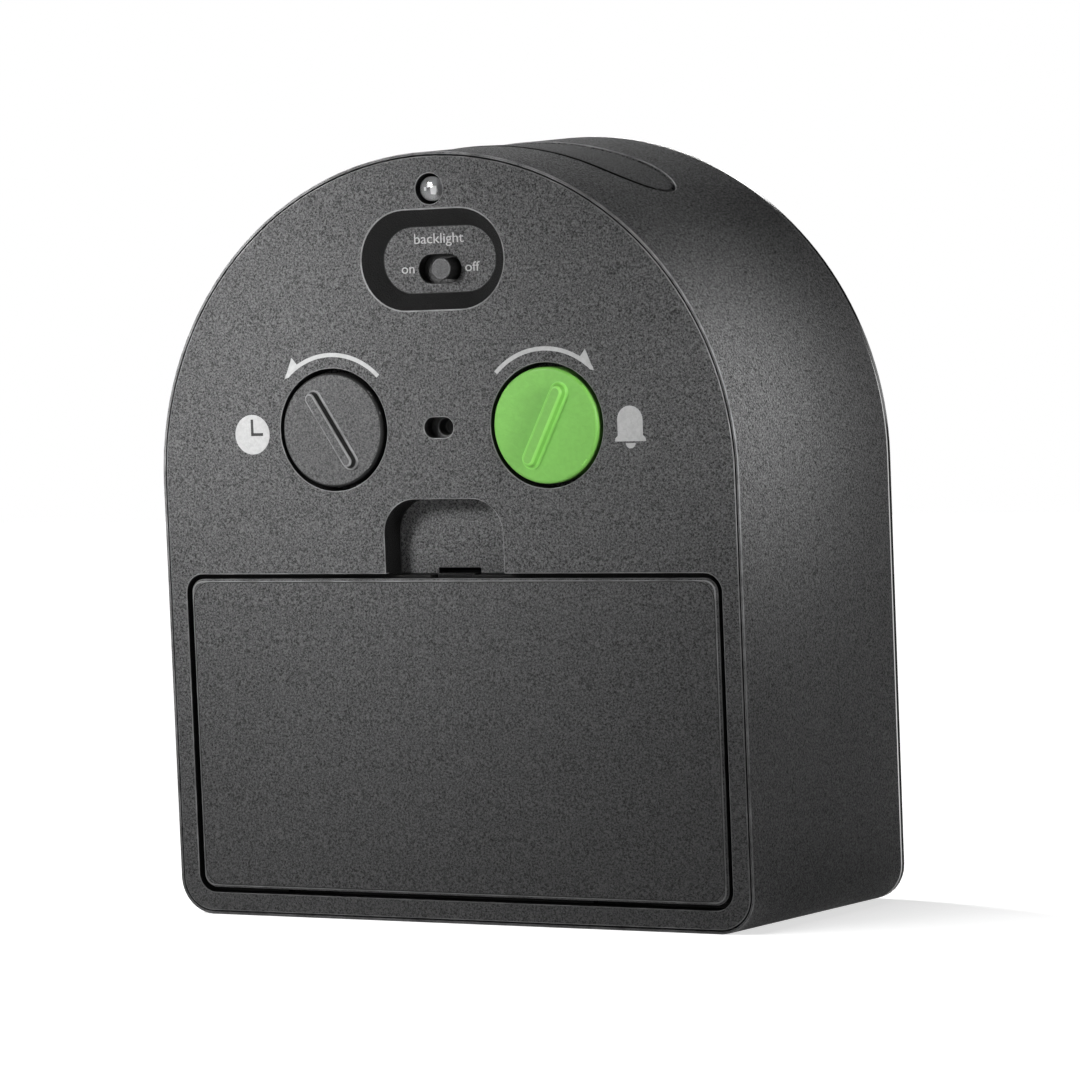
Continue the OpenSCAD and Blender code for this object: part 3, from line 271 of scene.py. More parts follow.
# What moulded plastic has where its own look doesn't say otherwise
plainPlastic = {
    "tooth": 0.35, "specular": 0.3, "contrast": 0.3, "dust": 0.25,
    "wearAndHighlight": 1.0,             # share of the rounded edges that is paler still, as wear on top of the painted highlight
    "facing": (0.86, 0.97),  # how squarely a surface looks back before it stops being a wall
    "edgeShadeFrom": 0.0008,       # depth in metres from which rounded edges take the wall shade, a painted shade
}
# Rounded edges carry a painted highlight: the light colour times the unworn highlight factor, or times "gain" plus
# "lift" where they are worn as well, with less roughness and a flatter grain
wornAndHighlitEdge = {"unwornHighlight": 1.2, "gain": 3.0, "lift": 0.03, "smoother": (0.75, 0.85), "flatter": 0.3}
speckles = {"dark": 0.25, "light": 2.1}  # how much darker and paler a speckled floor is than its colours
dustColour = (0.42, 0.41, 0.39)


def deeperThan(tree, level):
    return placeGroup(tree, rearFaces, Level=level).outputs["Deep"]


def faceColour(tree, look, grain):
    # Paler peaks and darker valleys of the grain, partly its own colour and partly painted shade of its relief;
    # then what depends on where a surface lies and looks
    dark, light = look["colours"]
    tone = grain.outputs["Tone"]
    relief = grain.outputs["Relief"]
    low = 1 - look["contrast"]
    high = 1 + look["contrast"]
    valley = mixColours(tree, tone, scaled(dark, low), scaled(light, low))
    peak = mixColours(tree, tone, scaled(dark, high), scaled(light, high))
    colour = mixColours(tree, relief, valley, peak)
    if "speckled" in look:
        floor = mixColours(tree, relief, scaled(dark, speckles["dark"]), scaled(light, speckles["light"]))
        colour = mixColours(tree, deeperThan(tree, look["speckled"]), colour, floor)
    # Sides of recesses, gaps and bars take a near-black painted shade
    if "walls" in look:
        wall, face = look["facing"]
        faces = placeGroup(tree, rearFaces, Wall=wall, Face=face)
        colour = mixColours(tree, faces.outputs["Facing"], look["walls"], colour)
    # The ledge between two depths takes the same painted shade as the sides of recesses
    if "ledge" in look:
        start, end = look["ledge"]
        onLedge = mathNode(tree, "SUBTRACT", deeperThan(tree, start), deeperThan(tree, end), clamp=True)
        colour = mixColours(tree, onLedge, colour, look["walls"])
    # Places deeper than a level take a painted shade
    if "below" in look:
        level, shadow = look["below"]
        colour = mixColours(tree, deeperThan(tree, level), colour, shadow)
    return colour


def edgeColour(tree, look):
    # Rounded edges are painted paler, as a highlight with wear on top, except where they lie deep
    light = look["colours"][1]
    wornHighlight = tuple(c * wornAndHighlitEdge["gain"] + wornAndHighlitEdge["lift"] for c in light)
    worn = placeGroup(tree, edgeWearAndHighlight, Amount=look["wearAndHighlight"])
    colour = mixColours(tree, worn.outputs["Mask"], scaled(light, wornAndHighlitEdge["unwornHighlight"]), wornHighlight)
    # Deep down, rounded edges take the painted wall shade
    if "walls" in look:
        colour = mixColours(tree, deeperThan(tree, look["edgeShadeFrom"]), colour, look["walls"])
    return colour


def mouldedPlastic(name, look, onEdge=False):
    # Moulded plastic with grain, slow tone drift and a little dust; its edge form is smoother and painted paler,
    # as a highlight with wear
    look = {**plainPlastic, **look}
    low, high = look["roughness"]
    depth = look["depth"]
    material, tree, shader = newMaterial(name, Specular_IOR_Level=look["specular"])
    grain = placeGroup(tree, mouldGrain, Cell_Size=look["cell"], Tooth=look["tooth"])
    dust = placeGroup(tree, restingDust, Amount=look["dust"])
    if onEdge:
        colour = edgeColour(tree, look)
        low *= wornAndHighlitEdge["smoother"][0]
        high *= wornAndHighlitEdge["smoother"][1]
        depth *= wornAndHighlitEdge["flatter"]
    else:
        colour = faceColour(tree, look, grain)
    linkColour(tree, shader, mixColours(tree, dust.outputs["Mask"], colour, dustColour))
    linkRoughness(tree, shader, grain.outputs["Tone"], low, high)
    linkBump(tree, shader, grain.outputs["Height"], depth)
    return material


# Plastics and prints, with colours as linear values and lengths in metres
# Depths are under the rear face. The deep shade is a painted shade from its depth down, "speckled" is speckled
# from its depth down, and the ledge shade is a painted shade between its two depths. The wall shade paints the
# sides of recesses and bars near black
cleanInside = {"contrast": 0.03, "dust": 0.0}
plasticLooks = {
    "case_plastic": {
        "colours": ((0.086, 0.086, 0.087), (0.102, 0.102, 0.103)), "cell": 0.00028, "tooth": 0.8,
        "depth": 0.0001, "roughness": (0.55, 0.65), "specular": 0.05, "contrast": 0.95},
    "cover_plastic": {
        "colours": ((0.082, 0.082, 0.083), (0.098, 0.098, 0.099)), "cell": 0.00027, "tooth": 0.8,
        "depth": 0.00012, "roughness": (0.5, 0.6), "specular": 0.2, "contrast": 0.85,
        "walls": (0.006, 0.006, 0.006), "speckled": 0.0042, "ledge": (0.0017, 0.00205),
        "below": (0.0049, (0.004, 0.004, 0.004))},
    "door_plastic": {
        "colours": ((0.078, 0.078, 0.079), (0.090, 0.090, 0.091)), "cell": 0.00027, "tooth": 0.8,
        "depth": 0.00012, "roughness": (0.5, 0.6), "specular": 0.2, "contrast": 0.85,
        "walls": (0.008, 0.008, 0.008), "facing": (0.4, 0.6), "edgeShadeFrom": 0.0005,
        "below": (0.0005, (0.006, 0.006, 0.006))},
    "pad_plastic": {
        "colours": ((0.068, 0.068, 0.069), (0.084, 0.084, 0.085)), "cell": 0.00026, "tooth": 0.8,
        "depth": 0.0001, "roughness": (0.55, 0.65), "specular": 0.08, "contrast": 0.95},
    "knob_black": {
        "colours": ((0.080, 0.080, 0.081), (0.092, 0.092, 0.093)), "cell": 0.00027, "tooth": 0.8,
        "depth": 0.0001, "roughness": (0.48, 0.58), "specular": 0.25, "contrast": 0.6,
        "walls": (0.012, 0.012, 0.012), "edgeShadeFrom": 0.003},
    "knob_green": {
        "colours": ((0.178, 0.459, 0.082), (0.194, 0.486, 0.091)), "cell": 0.0008, "tooth": 0.3,
        "depth": 0.00003, "roughness": (0.36, 0.46), "contrast": 0.04, "wearAndHighlight": 0.15},
    "button_black": {
        "colours": ((0.055, 0.055, 0.056), (0.066, 0.066, 0.067)), "cell": 0.0004, "depth": 0.0001,
        "roughness": (0.38, 0.5), "walls": (0.012, 0.012, 0.012), "edgeShadeFrom": 0.0022,
        "below": (0.0026, (0.008, 0.008, 0.008))},
    "black_part": {
        "colours": ((0.02, 0.02, 0.02), (0.03, 0.03, 0.03)), "cell": 0.0006, "depth": 0.00003,
        "roughness": (0.5, 0.6)},
    "gear_plastic": {
        **cleanInside, "colours": ((0.66, 0.64, 0.57), (0.74, 0.72, 0.64)), "cell": 0.0007,
        "tooth": 0.2, "depth": 0.00001, "roughness": (0.34, 0.46)},
    "frame_plastic": {
        **cleanInside, "colours": ((0.6, 0.585, 0.52), (0.68, 0.66, 0.58)), "cell": 0.0008,
        "tooth": 0.2, "depth": 0.000015, "roughness": (0.4, 0.5), "wearAndHighlight": 0.1},
    "guide_white": {
        **cleanInside, "colours": ((0.8, 0.8, 0.78), (0.86, 0.86, 0.84)), "cell": 0.001,
        "tooth": 0.1, "depth": 0.00001, "roughness": (0.28, 0.36), "wearAndHighlight": 0.0},
    "dial_face": {
        **cleanInside, "colours": ((0.80, 0.80, 0.79), (0.83, 0.83, 0.82)), "cell": 0.0004,
        "tooth": 0.3, "depth": 0.000008, "roughness": (0.5, 0.58)},
    "hand_black": {
        **cleanInside, "colours": ((0.014, 0.014, 0.014), (0.02, 0.02, 0.02)), "cell": 0.0005,
        "tooth": 0.2, "depth": 0.000006, "roughness": (0.34, 0.46), "wearAndHighlight": 0.1},
    "hand_silver": {
        **cleanInside, "colours": ((0.5, 0.5, 0.5), (0.6, 0.6, 0.6)), "cell": 0.0005,
        "tooth": 0.2, "depth": 0.000006, "roughness": (0.3, 0.4), "wearAndHighlight": 0.1},
    "hand_green": {
        **cleanInside, "colours": ((0.175, 0.455, 0.082), (0.195, 0.485, 0.092)), "cell": 0.0005,
        "tooth": 0.2, "depth": 0.000006, "roughness": (0.36, 0.46), "wearAndHighlight": 0.1},
    "print_white": {
        "colours": ((0.42, 0.42, 0.42), (0.47, 0.47, 0.47)), "cell": 0.0005, "depth": 0.0001,
        "roughness": (0.5, 0.6), "contrast": 0.08, "dust": 0.05},
    "print_dark": {
        **cleanInside, "colours": ((0.03, 0.03, 0.03), (0.04, 0.04, 0.04)), "cell": 0.00055,
        "depth": 0.00005, "roughness": (0.5, 0.6)},
    "print_black": {
        **cleanInside, "colours": ((0.015, 0.015, 0.015), (0.02, 0.02, 0.02)), "cell": 0.0004,
        "depth": 0.000006, "roughness": (0.42, 0.5)},
    "sensor_grey": {
        "colours": ((0.2, 0.2, 0.205), (0.24, 0.24, 0.245)), "cell": 0.0003, "depth": 0.00001,
        "roughness": (0.3, 0.4), "contrast": 0.05, "dust": 0.0},
    "lead_frame": {
        "colours": ((0.72, 0.72, 0.72), (0.85, 0.85, 0.85)), "cell": 0.0003, "depth": 0.00001,
        "roughness": (0.2, 0.3), "contrast": 0.05, "dust": 0.0},
    "lume": {
        **cleanInside, "colours": ((0.66, 0.78, 0.52), (0.72, 0.84, 0.58)), "cell": 0.0003,
        "depth": 0.00001, "roughness": (0.5, 0.6)},
}

# The chamfer colour is a painted highlight along the rim's rear edge
rimLook = {"black": ((0.004, 0.004, 0.004), (0.007, 0.007, 0.007)), "highlitChamfer": (0.5, 0.5, 0.5),
           "facing": (0.35, 0.6), "roughness": (0.12, 0.2), "specular": 0.02, "smearScale": 55.0}


def glossRim():
    # Polished black, with a painted highlight: the narrow chamfer at the rear, where it meets the case, is pale
    # and metallic
    p = rimLook
    material, tree, shader = newMaterial("rim_gloss", Specular_IOR_Level=p["specular"])
    smear = noiseMask(tree, p["smearScale"], detail=3.0)
    wall, face = p["facing"]
    highlitChamfer = placeGroup(tree, rearFaces, Wall=wall, Face=face).outputs["Facing"]
    linkColour(tree, shader, mixColours(tree, highlitChamfer, mixColours(tree, smear, *p["black"]), p["highlitChamfer"]))
    tree.links.new(highlitChamfer, shader.inputs["Metallic"])
    linkRoughness(tree, shader, smear, *p["roughness"])
    return material


clearLooks = {
    "window_clear": {"tint": (0.985, 0.99, 0.99), "roughness": 0.02},
    "sensor_clear": {"tint": (0.95, 0.955, 0.96), "roughness": 0.03},
}
clearHaze = {"scale": 80.0, "darker": 0.985, "smooth": 0.7, "rough": 1.3}


def clearPlastic(name, look):
    # Clear plastic with a faint uneven haze
    tint = look["tint"]
    roughness = look["roughness"]
    material, tree, shader = newMaterial(name, Transmission_Weight=1.0, IOR=1.49, Roughness=roughness)
    haze = noiseMask(tree, clearHaze["scale"], detail=3.0)
    linkColour(tree, shader, mixColours(tree, haze, tint, scaled(tint, clearHaze["darker"])))
    linkRoughness(tree, shader, haze, roughness * clearHaze["smooth"], roughness * clearHaze["rough"])
    return material


# Metals: colours, roughness and how many lines run side by side in a metre
metalLooks = {
    "steel": {"colours": ((0.5, 0.5, 0.51), (0.62, 0.62, 0.63)), "roughness": (0.25, 0.38), "lines": 1800.0},
    "brass_bright": {"colours": ((0.62, 0.45, 0.18), (0.74, 0.57, 0.26)), "roughness": (0.2, 0.32),
                     "lines": 1500.0},
    "copper_wire": {"colours": ((0.45, 0.17, 0.06), (0.62, 0.27, 0.1)), "roughness": (0.25, 0.4),
                    "lines": 5200.0},
    "magnet_dark": {"colours": ((0.09, 0.09, 0.1), (0.15, 0.15, 0.16)), "roughness": (0.4, 0.55),
                    "lines": 1200.0},
}
metalWear = {"amount": 0.3, "patch": 0.0012, "brighter": 1.25, "lineDepth": 0.000004, "lineStretch": 0.05}


def metal(name, look):
    # Drawn or plated metal with fine lines along x
    w = metalWear
    lines = look["lines"]
    material, tree, shader = newMaterial(name, Metallic=1.0)
    stretch = addNode(tree, "ShaderNodeMapping", Scale=(lines * w["lineStretch"], lines, lines))
    tree.links.new(objectPlace(tree), stretch.inputs["Vector"])
    streak = noiseMask(tree, 1.0, detail=3.0, at=stretch.outputs["Vector"])
    worn = placeGroup(tree, edgeWearAndHighlight, Amount=w["amount"], Patch_Size=w["patch"])
    plain = mixColours(tree, streak, *look["colours"])
    bright = scaled(look["colours"][1], w["brighter"])
    linkColour(tree, shader, mixColours(tree, worn.outputs["Mask"], plain, bright))
    linkRoughness(tree, shader, streak, *look["roughness"])
    linkBump(tree, shader, streak, w["lineDepth"])
    return material


boardLook = {"resist": (0.012, 0.11, 0.035), "track": (0.03, 0.22, 0.08), "trackHeight": 0.00003,
             "roughness": (0.25, 0.4)}


def circuitBoard():
    # Solder resist over copper tracks, with the tracks as slightly raised lighter lines
    p = boardLook
    material, tree, shader = newMaterial("board_green", Specular_IOR_Level=0.5)
    tracks = addNode(tree, "ShaderNodeTexBrick", {"offset": 0.5, "squash": 0.6}, Scale=260.0,
                     Mortar_Size=0.035, Mortar_Smooth=0.3, Brick_Width=0.9, Row_Height=0.35)
    upright = addNode(tree, "ShaderNodeMapping", Rotation=(math.radians(90), 0, 0))
    tree.links.new(objectPlace(tree), upright.inputs["Vector"])
    tree.links.new(upright.outputs["Vector"], tracks.inputs["Vector"])
    lines = tracks.outputs["Fac"]
    linkColour(tree, shader, mixColours(tree, lines, p["resist"], p["track"]))
    linkRoughness(tree, shader, lines, *p["roughness"])
    linkBump(tree, shader, lines, p["trackHeight"])
    return material


# Plain cell: where the bare ends and the light band start, in metres from its middle
cellLook = {"endFrom": 0.0236, "bandFrom": 0.0115, "sleeve": ((0.03, 0.031, 0.034), (0.042, 0.043, 0.047)),
            "band": (0.62, 0.45, 0.16), "end": (0.6, 0.6, 0.62), "roughness": (0.24, 0.36),
            "smearScale": 120.0}


def cellSleeve():
    # Steel ends, a dark printed sleeve and a light band near one end
    p = cellLook
    material, tree, shader = newMaterial("cell_sleeve")
    split = addNode(tree, "ShaderNodeSeparateXYZ")
    tree.links.new(objectPlace(tree), split.inputs["Vector"])
    along = split.outputs["X"]
    bareEnd = mathNode(tree, "GREATER_THAN", mathNode(tree, "ABSOLUTE", along), p["endFrom"])
    band = mathNode(tree, "GREATER_THAN", along, p["bandFrom"])
    smear = noiseMask(tree, p["smearScale"], detail=3.0)
    sleeve = mixColours(tree, band, mixColours(tree, smear, *p["sleeve"]), p["band"])
    linkColour(tree, shader, mixColours(tree, bareEnd, sleeve, p["end"]))
    tree.links.new(bareEnd, shader.inputs["Metallic"])
    linkRoughness(tree, shader, smear, *p["roughness"])
    return material


ledLook = {"colours": ((0.78, 0.66, 0.2), (0.86, 0.78, 0.4)), "roughness": (0.2, 0.34), "cloudScale": 700.0}


def ledBody():
    # Cast resin with a cloudy yellow filling
    material, tree, shader = newMaterial("led")
    cloud = noiseMask(tree, ledLook["cloudScale"])
    linkColour(tree, shader, mixColours(tree, cloud, *ledLook["colours"]))
    linkRoughness(tree, shader, cloud, *ledLook["roughness"])
    return material


finishes = {name: mouldedPlastic(name, look) for name, look in plasticLooks.items()}
finishes.update({name: clearPlastic(name, look) for name, look in clearLooks.items()})
finishes.update({name: metal(name, look) for name, look in metalLooks.items()})
finishes["rim_gloss"] = glossRim()
finishes["board_green"] = circuitBoard()
finishes["cell_sleeve"] = cellSleeve()
finishes["led"] = ledBody()
print("finishes made:", len(finishes))

# Each CAD node takes the finish of its slot
slotOfNode = {part["node"]: part["material_slot"] for part in frame["record"]["subparts"]}
for name, obj in nodes.items():
    obj.data.materials.clear()
    obj.data.materials.append(finishes[slotOfNode[name]])

# Moulded edges are softened: width of the rounding in metres for each node that shows
softEdges = {
    "case_shell": 0.00016, "rear_cover": 0.00012, "battery_door": 0.00012, "front_bezel": 0.00008,
    "snooze_pad": 0.0004, "time_knob": 0.00022, "alarm_knob": 0.0003, "slide_button": 0.00018,
    "lens": 0.00012, "light_guide": 0.00012, "dial_nut": 0.00008, "cover_screws": 0.0001,
    "hour_hand": 0.00006, "minute_hand": 0.00006, "second_hand": 0.00005, "alarm_hand": 0.00006,
    "movement_front_plate": 0.00015, "movement_rear_plate": 0.00015, "buzzer": 0.0002,
}
# Plastic edges take the edge form of their finish, painted paler as a highlight; the pad's rim takes a near-black
# painted shade, as if it lay in the shadow of its gap
rimShades = {"snooze_pad": "gap_shade_painted"}
edgeLooks = {**plasticLooks, "gap_shade_painted": {
    "colours": ((0.004, 0.004, 0.004), (0.006, 0.006, 0.006)), "cell": 0.0004, "depth": 0.00001,
    "roughness": (0.55, 0.65), "specular": 0.05, "dust": 0.0, "wearAndHighlight": 0.0}}
bevelForm = {"segments": 3, "fromAngle": 30, "flatAngle": 0.6, "weld": 0.000002, "faceWeight": 80}


def softenEdges(obj, width, edgeFinish):
    weld = obj.modifiers.new("joined faces", "WELD")
    weld.merge_threshold = bevelForm["weld"]
    flat = obj.modifiers.new("whole flat faces", "DECIMATE")
    flat.decimate_type = "DISSOLVE"
    flat.angle_limit = math.radians(bevelForm["flatAngle"])
    bevel = obj.modifiers.new("soft edges", "BEVEL")
    bevel.width = width
    bevel.segments = bevelForm["segments"]
    bevel.limit_method = "ANGLE"
    bevel.angle_limit = math.radians(bevelForm["fromAngle"])
    bevel.use_clamp_overlap = False
    bevel.miter_outer = "MITER_ARC"
    if edgeFinish:
        obj.data.materials.append(edgeFinish)
        bevel.material = 1
    shade = obj.modifiers.new("even shading", "WEIGHTED_NORMAL")
    shade.keep_sharp = False
    shade.weight = bevelForm["faceWeight"]
    for face in obj.data.polygons:
        face.use_smooth = True


edgeFinishes = {}
for name, width in softEdges.items():
    finish = rimShades.get(name, slotOfNode[name])
    if finish in edgeLooks and finish not in edgeFinishes:
        edgeFinishes[finish] = mouldedPlastic(finish + "_edge", edgeLooks[finish], onEdge=True)
    softenEdges(nodes[name], width, edgeFinishes.get(finish))
print("edges softened on", len(softEdges), "nodes")


# Flat print: thin raised shapes, drawn in millimetres and sunk a little so that no gap shows under them
printForm = {"thickness": 0.03, "sunk": 0.01}


def finishPiece(name, bm, material, body, smooth=False):
    bmesh.ops.recalc_face_normals(bm, faces=bm.faces)
    bm.transform(clockToRow)
    mesh = bpy.data.meshes.new(name)
    bm.to_mesh(mesh)
    bm.free()
    for face in mesh.polygons:
        face.use_smooth = smooth
    obj = bpy.data.objects.new(name, mesh)
    scene.collection.objects.link(obj)
    mesh.materials.append(finishes[material])
    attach(obj, body)
    return obj


def addOutline(bm, points, place, thickness=printForm["thickness"]):
    # A closed outline in the print's own plane, raised by its thickness
    low = [bm.verts.new(place @ Vector((x, y, -printForm["sunk"]))) for x, y in points]
    high = [bm.verts.new(place @ Vector((x, y, thickness))) for x, y in points]
    bm.faces.new(high)
    bm.faces.new(list(reversed(low)))
    for i in range(len(points)):
        k = (i + 1) % len(points)
        bm.faces.new((low[i], low[k], high[k], high[i]))


def arcPoints(centre, radius, start, end, steps):
    turns = [math.radians(start + (end - start) * i / steps) for i in range(steps + 1)]
    return [(centre[0] + radius * math.cos(t), centre[1] + radius * math.sin(t)) for t in turns]


def circlePoints(radius, count):
    return arcPoints((0, 0), radius, 0, 360 - 360 / count, count - 1)


def rectangle(left, bottom, right, top):
    return [(left, bottom), (right, bottom), (right, top), (left, top)]


def addText(bm, words, size, place, widen=1.0):
    thickness = printForm["thickness"]
    curve = bpy.data.curves.new("lettering", "FONT")
    curve.body = words
    curve.size = size
    curve.align_x = "CENTER"
    curve.align_y = "BOTTOM_BASELINE"
    curve.extrude = thickness / 2
    curve.resolution_u = 8
    holder = bpy.data.objects.new("lettering", curve)
    scene.collection.objects.link(holder)
    mesh = bpy.data.meshes.new_from_object(holder.evaluated_get(bpy.context.evaluated_depsgraph_get()))
    raised = Matrix.Translation((0, 0, thickness / 2 - printForm["sunk"]))
    mesh.transform(place @ raised @ Matrix.Scale(widen, 4, (1, 0, 0)))
    bm.from_mesh(mesh)
    bpy.data.objects.remove(holder)
    bpy.data.meshes.remove(mesh)


# Turn arrows round the knobs: an arc that ends in a point, with one barb on its outer side
arrowPrint = {"radius": 10.8, "width": 0.6, "start": 44.5, "end": 133, "point": 135.6, "barbFoot": 120.5,
              "barbAt": 121.5, "barbRadius": 12.4, "barbThickness": 0.031, "steps": 28}


def turnArrow(name, side):
    # side is +1 for the time knob on the picture's left, -1 for the alarm knob
    p = arrowPrint
    place = Matrix.Translation((side * caseForm["knobX"], caseForm["knobY"], 0)) @ faceBack

    def onArc(radius, turn):
        return side * radius * math.cos(math.radians(turn)), radius * math.sin(math.radians(turn))

    turns = [p["start"] + (p["end"] - p["start"]) * i / p["steps"] for i in range(p["steps"] + 1)]
    outer = [onArc(p["radius"] + p["width"] / 2, turn) for turn in turns]
    inner = [onArc(p["radius"] - p["width"] / 2, turn) for turn in reversed(turns)]
    tip = onArc(p["radius"], p["point"])
    barb = [onArc(p["radius"], p["barbFoot"]), onArc(p["barbRadius"], p["barbAt"]), tip]
    bm = bmesh.new()
    addOutline(bm, outer + [tip] + inner, place)
    addOutline(bm, barb, place, p["barbThickness"])
    finishPiece(name, bm, "print_white", "case")


turnArrow("arrow_time", 1)
turnArrow("arrow_alarm", -1)

# Clock sign: a disc with two dark hands
clockIcon = {"centre": (30.85, 70.75), "radius": 2.9, "handWidth": 0.42, "up": 2.2, "across": 1.8,
             "handThickness": 0.045}


def clockSign():
    p = clockIcon
    place = Matrix.Translation((*p["centre"], 0)) @ faceBack
    half = p["handWidth"] / 2
    bm = bmesh.new()
    addOutline(bm, circlePoints(p["radius"], 32), place)
    finishPiece("icon_clock", bm, "print_white", "case")
    bm = bmesh.new()
    addOutline(bm, rectangle(-half, -half, half, p["up"]), place, p["handThickness"])
    addOutline(bm, rectangle(-half, -half, p["across"], half), place, p["handThickness"])
    finishPiece("icon_clock_hands", bm, "print_dark", "case")


# Bell sign: a dome that flares into a skirt with a thin lip, and a half round clapper
bellIcon = {"x": -30.24, "domeHalf": 1.95, "domeTop": 73.71, "skirtY": 68.74, "skirtTop": 69.43,
            "skirtHalf": 2.42, "flare": 0.15, "lipIn": 0.1, "lipDrop": 0.25,
            "clapperR": 0.75, "clapperY": 68.5}


def bellSign():
    p = bellIcon
    place = Matrix.Translation((p["x"], 0, 0)) @ faceBack
    skirt = [(p["skirtHalf"], p["skirtY"]), (p["skirtHalf"] - p["lipIn"], p["skirtTop"] - p["lipDrop"]),
             (p["domeHalf"], p["skirtTop"] + p["flare"])]
    dome = arcPoints((0, p["domeTop"] - p["domeHalf"]), p["domeHalf"], 0, 180, 18)
    farSkirt = [(-x, y) for x, y in reversed(skirt)]
    bm = bmesh.new()
    addOutline(bm, skirt + dome + farSkirt, place)
    addOutline(bm, arcPoints((0, p["clapperY"]), p["clapperR"], 180, 360, 10), place)
    finishPiece("icon_bell", bm, "print_white", "case")


clockSign()
bellSign()

# Words in the switch recess: place on the recess floor and size of the letters
recessWords = {"backlight": (0.08, 97.4, 2.05), "on": (5.17, 93.24, 1.95), "off": (-5.15, 93.24, 1.95)}
wordWiden = 1.12
for word, (x, y, size) in recessWords.items():
    bm = bmesh.new()
    addText(bm, word, size, Matrix.Translation((x, y, caseForm["recessZ"])) @ faceBack, wordWiden)
    finishPiece("word_" + word, bm, "print_white", "case")
print("rear print made")

# Dial print: numerals, hour bars and minute bars round the hands
dialPrint = {"numeralRadius": 31.5, "numeralSize": 8.2, "numeralDrop": 0.36, "barOuter": 41.6,
             "barInner": 38.4, "barWidth": 1.0, "tickInner": 40.2, "tickWidth": 0.4}


def dialNumerals():
    p = dialPrint
    bm = bmesh.new()
    for hour in range(1, 13):
        turn = math.radians(30 * hour)
        x = p["numeralRadius"] * math.sin(turn)
        y = caseForm["archY"] + p["numeralRadius"] * math.cos(turn) - p["numeralSize"] * p["numeralDrop"]
        addText(bm, str(hour), p["numeralSize"], Matrix.Translation((x, y, caseForm["dialZ"])))
    finishPiece("dial_numerals", bm, "print_black", "case")


def aboutDial(z, turn):
    # The dial's own plane at height z, turned clockwise in degrees
    return Matrix.Translation((0, caseForm["archY"], z)) @ Matrix.Rotation(math.radians(-turn), 4, "Z")


def dialTicks():
    p = dialPrint
    bm = bmesh.new()
    for minute in range(60):
        onHour = minute % 5 == 0
        half = (p["barWidth"] if onHour else p["tickWidth"]) / 2
        inner = p["barInner"] if onHour else p["tickInner"]
        addOutline(bm, rectangle(-half, inner, half, p["barOuter"]), aboutDial(caseForm["dialZ"], 6 * minute))
    finishPiece("dial_ticks", bm, "print_black", "case")


dialNumerals()
dialTicks()

# Pale inlays on the two broad hands: turn at rest, height, start, end and width
handInlays = {
    "minute": {"turn": 60, "z": 45.2, "start": 12.0, "end": 31.5, "width": 1.1, "body": "minute_arbor"},
    "hour": {"turn": 305, "z": 44.375, "start": 9.0, "end": 20.5, "width": 1.6, "body": "hour_arbor"},
}
for name, p in handInlays.items():
    half = p["width"] / 2
    outerEnd = arcPoints((0, p["end"] - half), half, 0, 180, 8)
    innerEnd = arcPoints((0, p["start"] + half), half, 180, 360, 8)
    bm = bmesh.new()
    addOutline(bm, outerEnd + innerEnd, aboutDial(p["z"], p["turn"]))
    finishPiece("inlay_" + name, bm, "lume", p["body"])
print("dial print and inlays made")


# Clear light sensor: a turned body with a low dome as radius and depth, and what is seen inside it
sensorForm = {
    "y": 105.1,
    "profile": [(0, 0.05), (0.6, 0.07), (1.1, 0.14), (1.45, 0.27), (1.65, 0.45), (1.74, 0.7), (1.75, 1.0),
                (1.75, 5.6), (2.05, 5.6), (2.05, 6.4), (0, 6.4)],
    "turns": 40,
    "cupZ": 1.5, "cupR": 1.6, "cupThickness": 0.1,
    "frameZ": 0.85, "frameThickness": 0.3,
    "plate": [(0.1, -0.75), (0.75, -0.85), (1.0, -0.3), (0.9, 0.35), (0.35, 0.45), (0.0, 0.1)],
    "post": (-0.95, -0.25, -0.6, 0.25),
    "legHalf": 0.25, "legX": 0.9, "legZ": (6.4, 9.0),
}


def sensorLens():
    p = sensorForm
    upright = Matrix.Translation((0, p["y"], 0))
    angles = [2 * math.pi * i / p["turns"] for i in range(p["turns"])]
    bm = bmesh.new()
    rings = []
    for r, z in p["profile"]:
        points = [(r * math.cos(t), r * math.sin(t), z) for t in angles] if r else [(0, 0, z)]
        rings.append([bm.verts.new(upright @ Vector(point)) for point in points])
    for low, high in zip(rings, rings[1:]):
        for i in range(p["turns"]):
            k = (i + 1) % p["turns"]
            if len(low) == 1:
                bm.faces.new((low[0], high[k], high[i]))
            elif len(high) == 1:
                bm.faces.new((low[i], low[k], high[0]))
            else:
                bm.faces.new((low[i], low[k], high[k], high[i]))
    lens = finishPiece("sensor_lens", bm, "sensor_clear", "case", smooth=True)
    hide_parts("light_sensor")


def sensorInside():
    # A grey cup behind a small lead frame, whose two legs leave the body at its back
    p = sensorForm
    bm = bmesh.new()
    place = Matrix.Translation((0, p["y"], p["cupZ"])) @ faceBack
    addOutline(bm, circlePoints(p["cupR"], 24), place, p["cupThickness"])
    finishPiece("sensor_cup", bm, "sensor_grey", "case")
    bm = bmesh.new()
    place = Matrix.Translation((0, p["y"], p["frameZ"])) @ faceBack
    addOutline(bm, p["plate"], place, p["frameThickness"])
    addOutline(bm, rectangle(*p["post"]), place, p["frameThickness"])
    half = p["legHalf"]
    legStart, legEnd = p["legZ"]
    foot = legStart + printForm["sunk"]
    for side in (-1, 1):
        place = Matrix.Translation((side * p["legX"], p["y"], foot))
        addOutline(bm, rectangle(-half, -half, half, half), place, legEnd - foot)
    finishPiece("sensor_frame", bm, "lead_frame", "case")


sensorLens()
sensorInside()

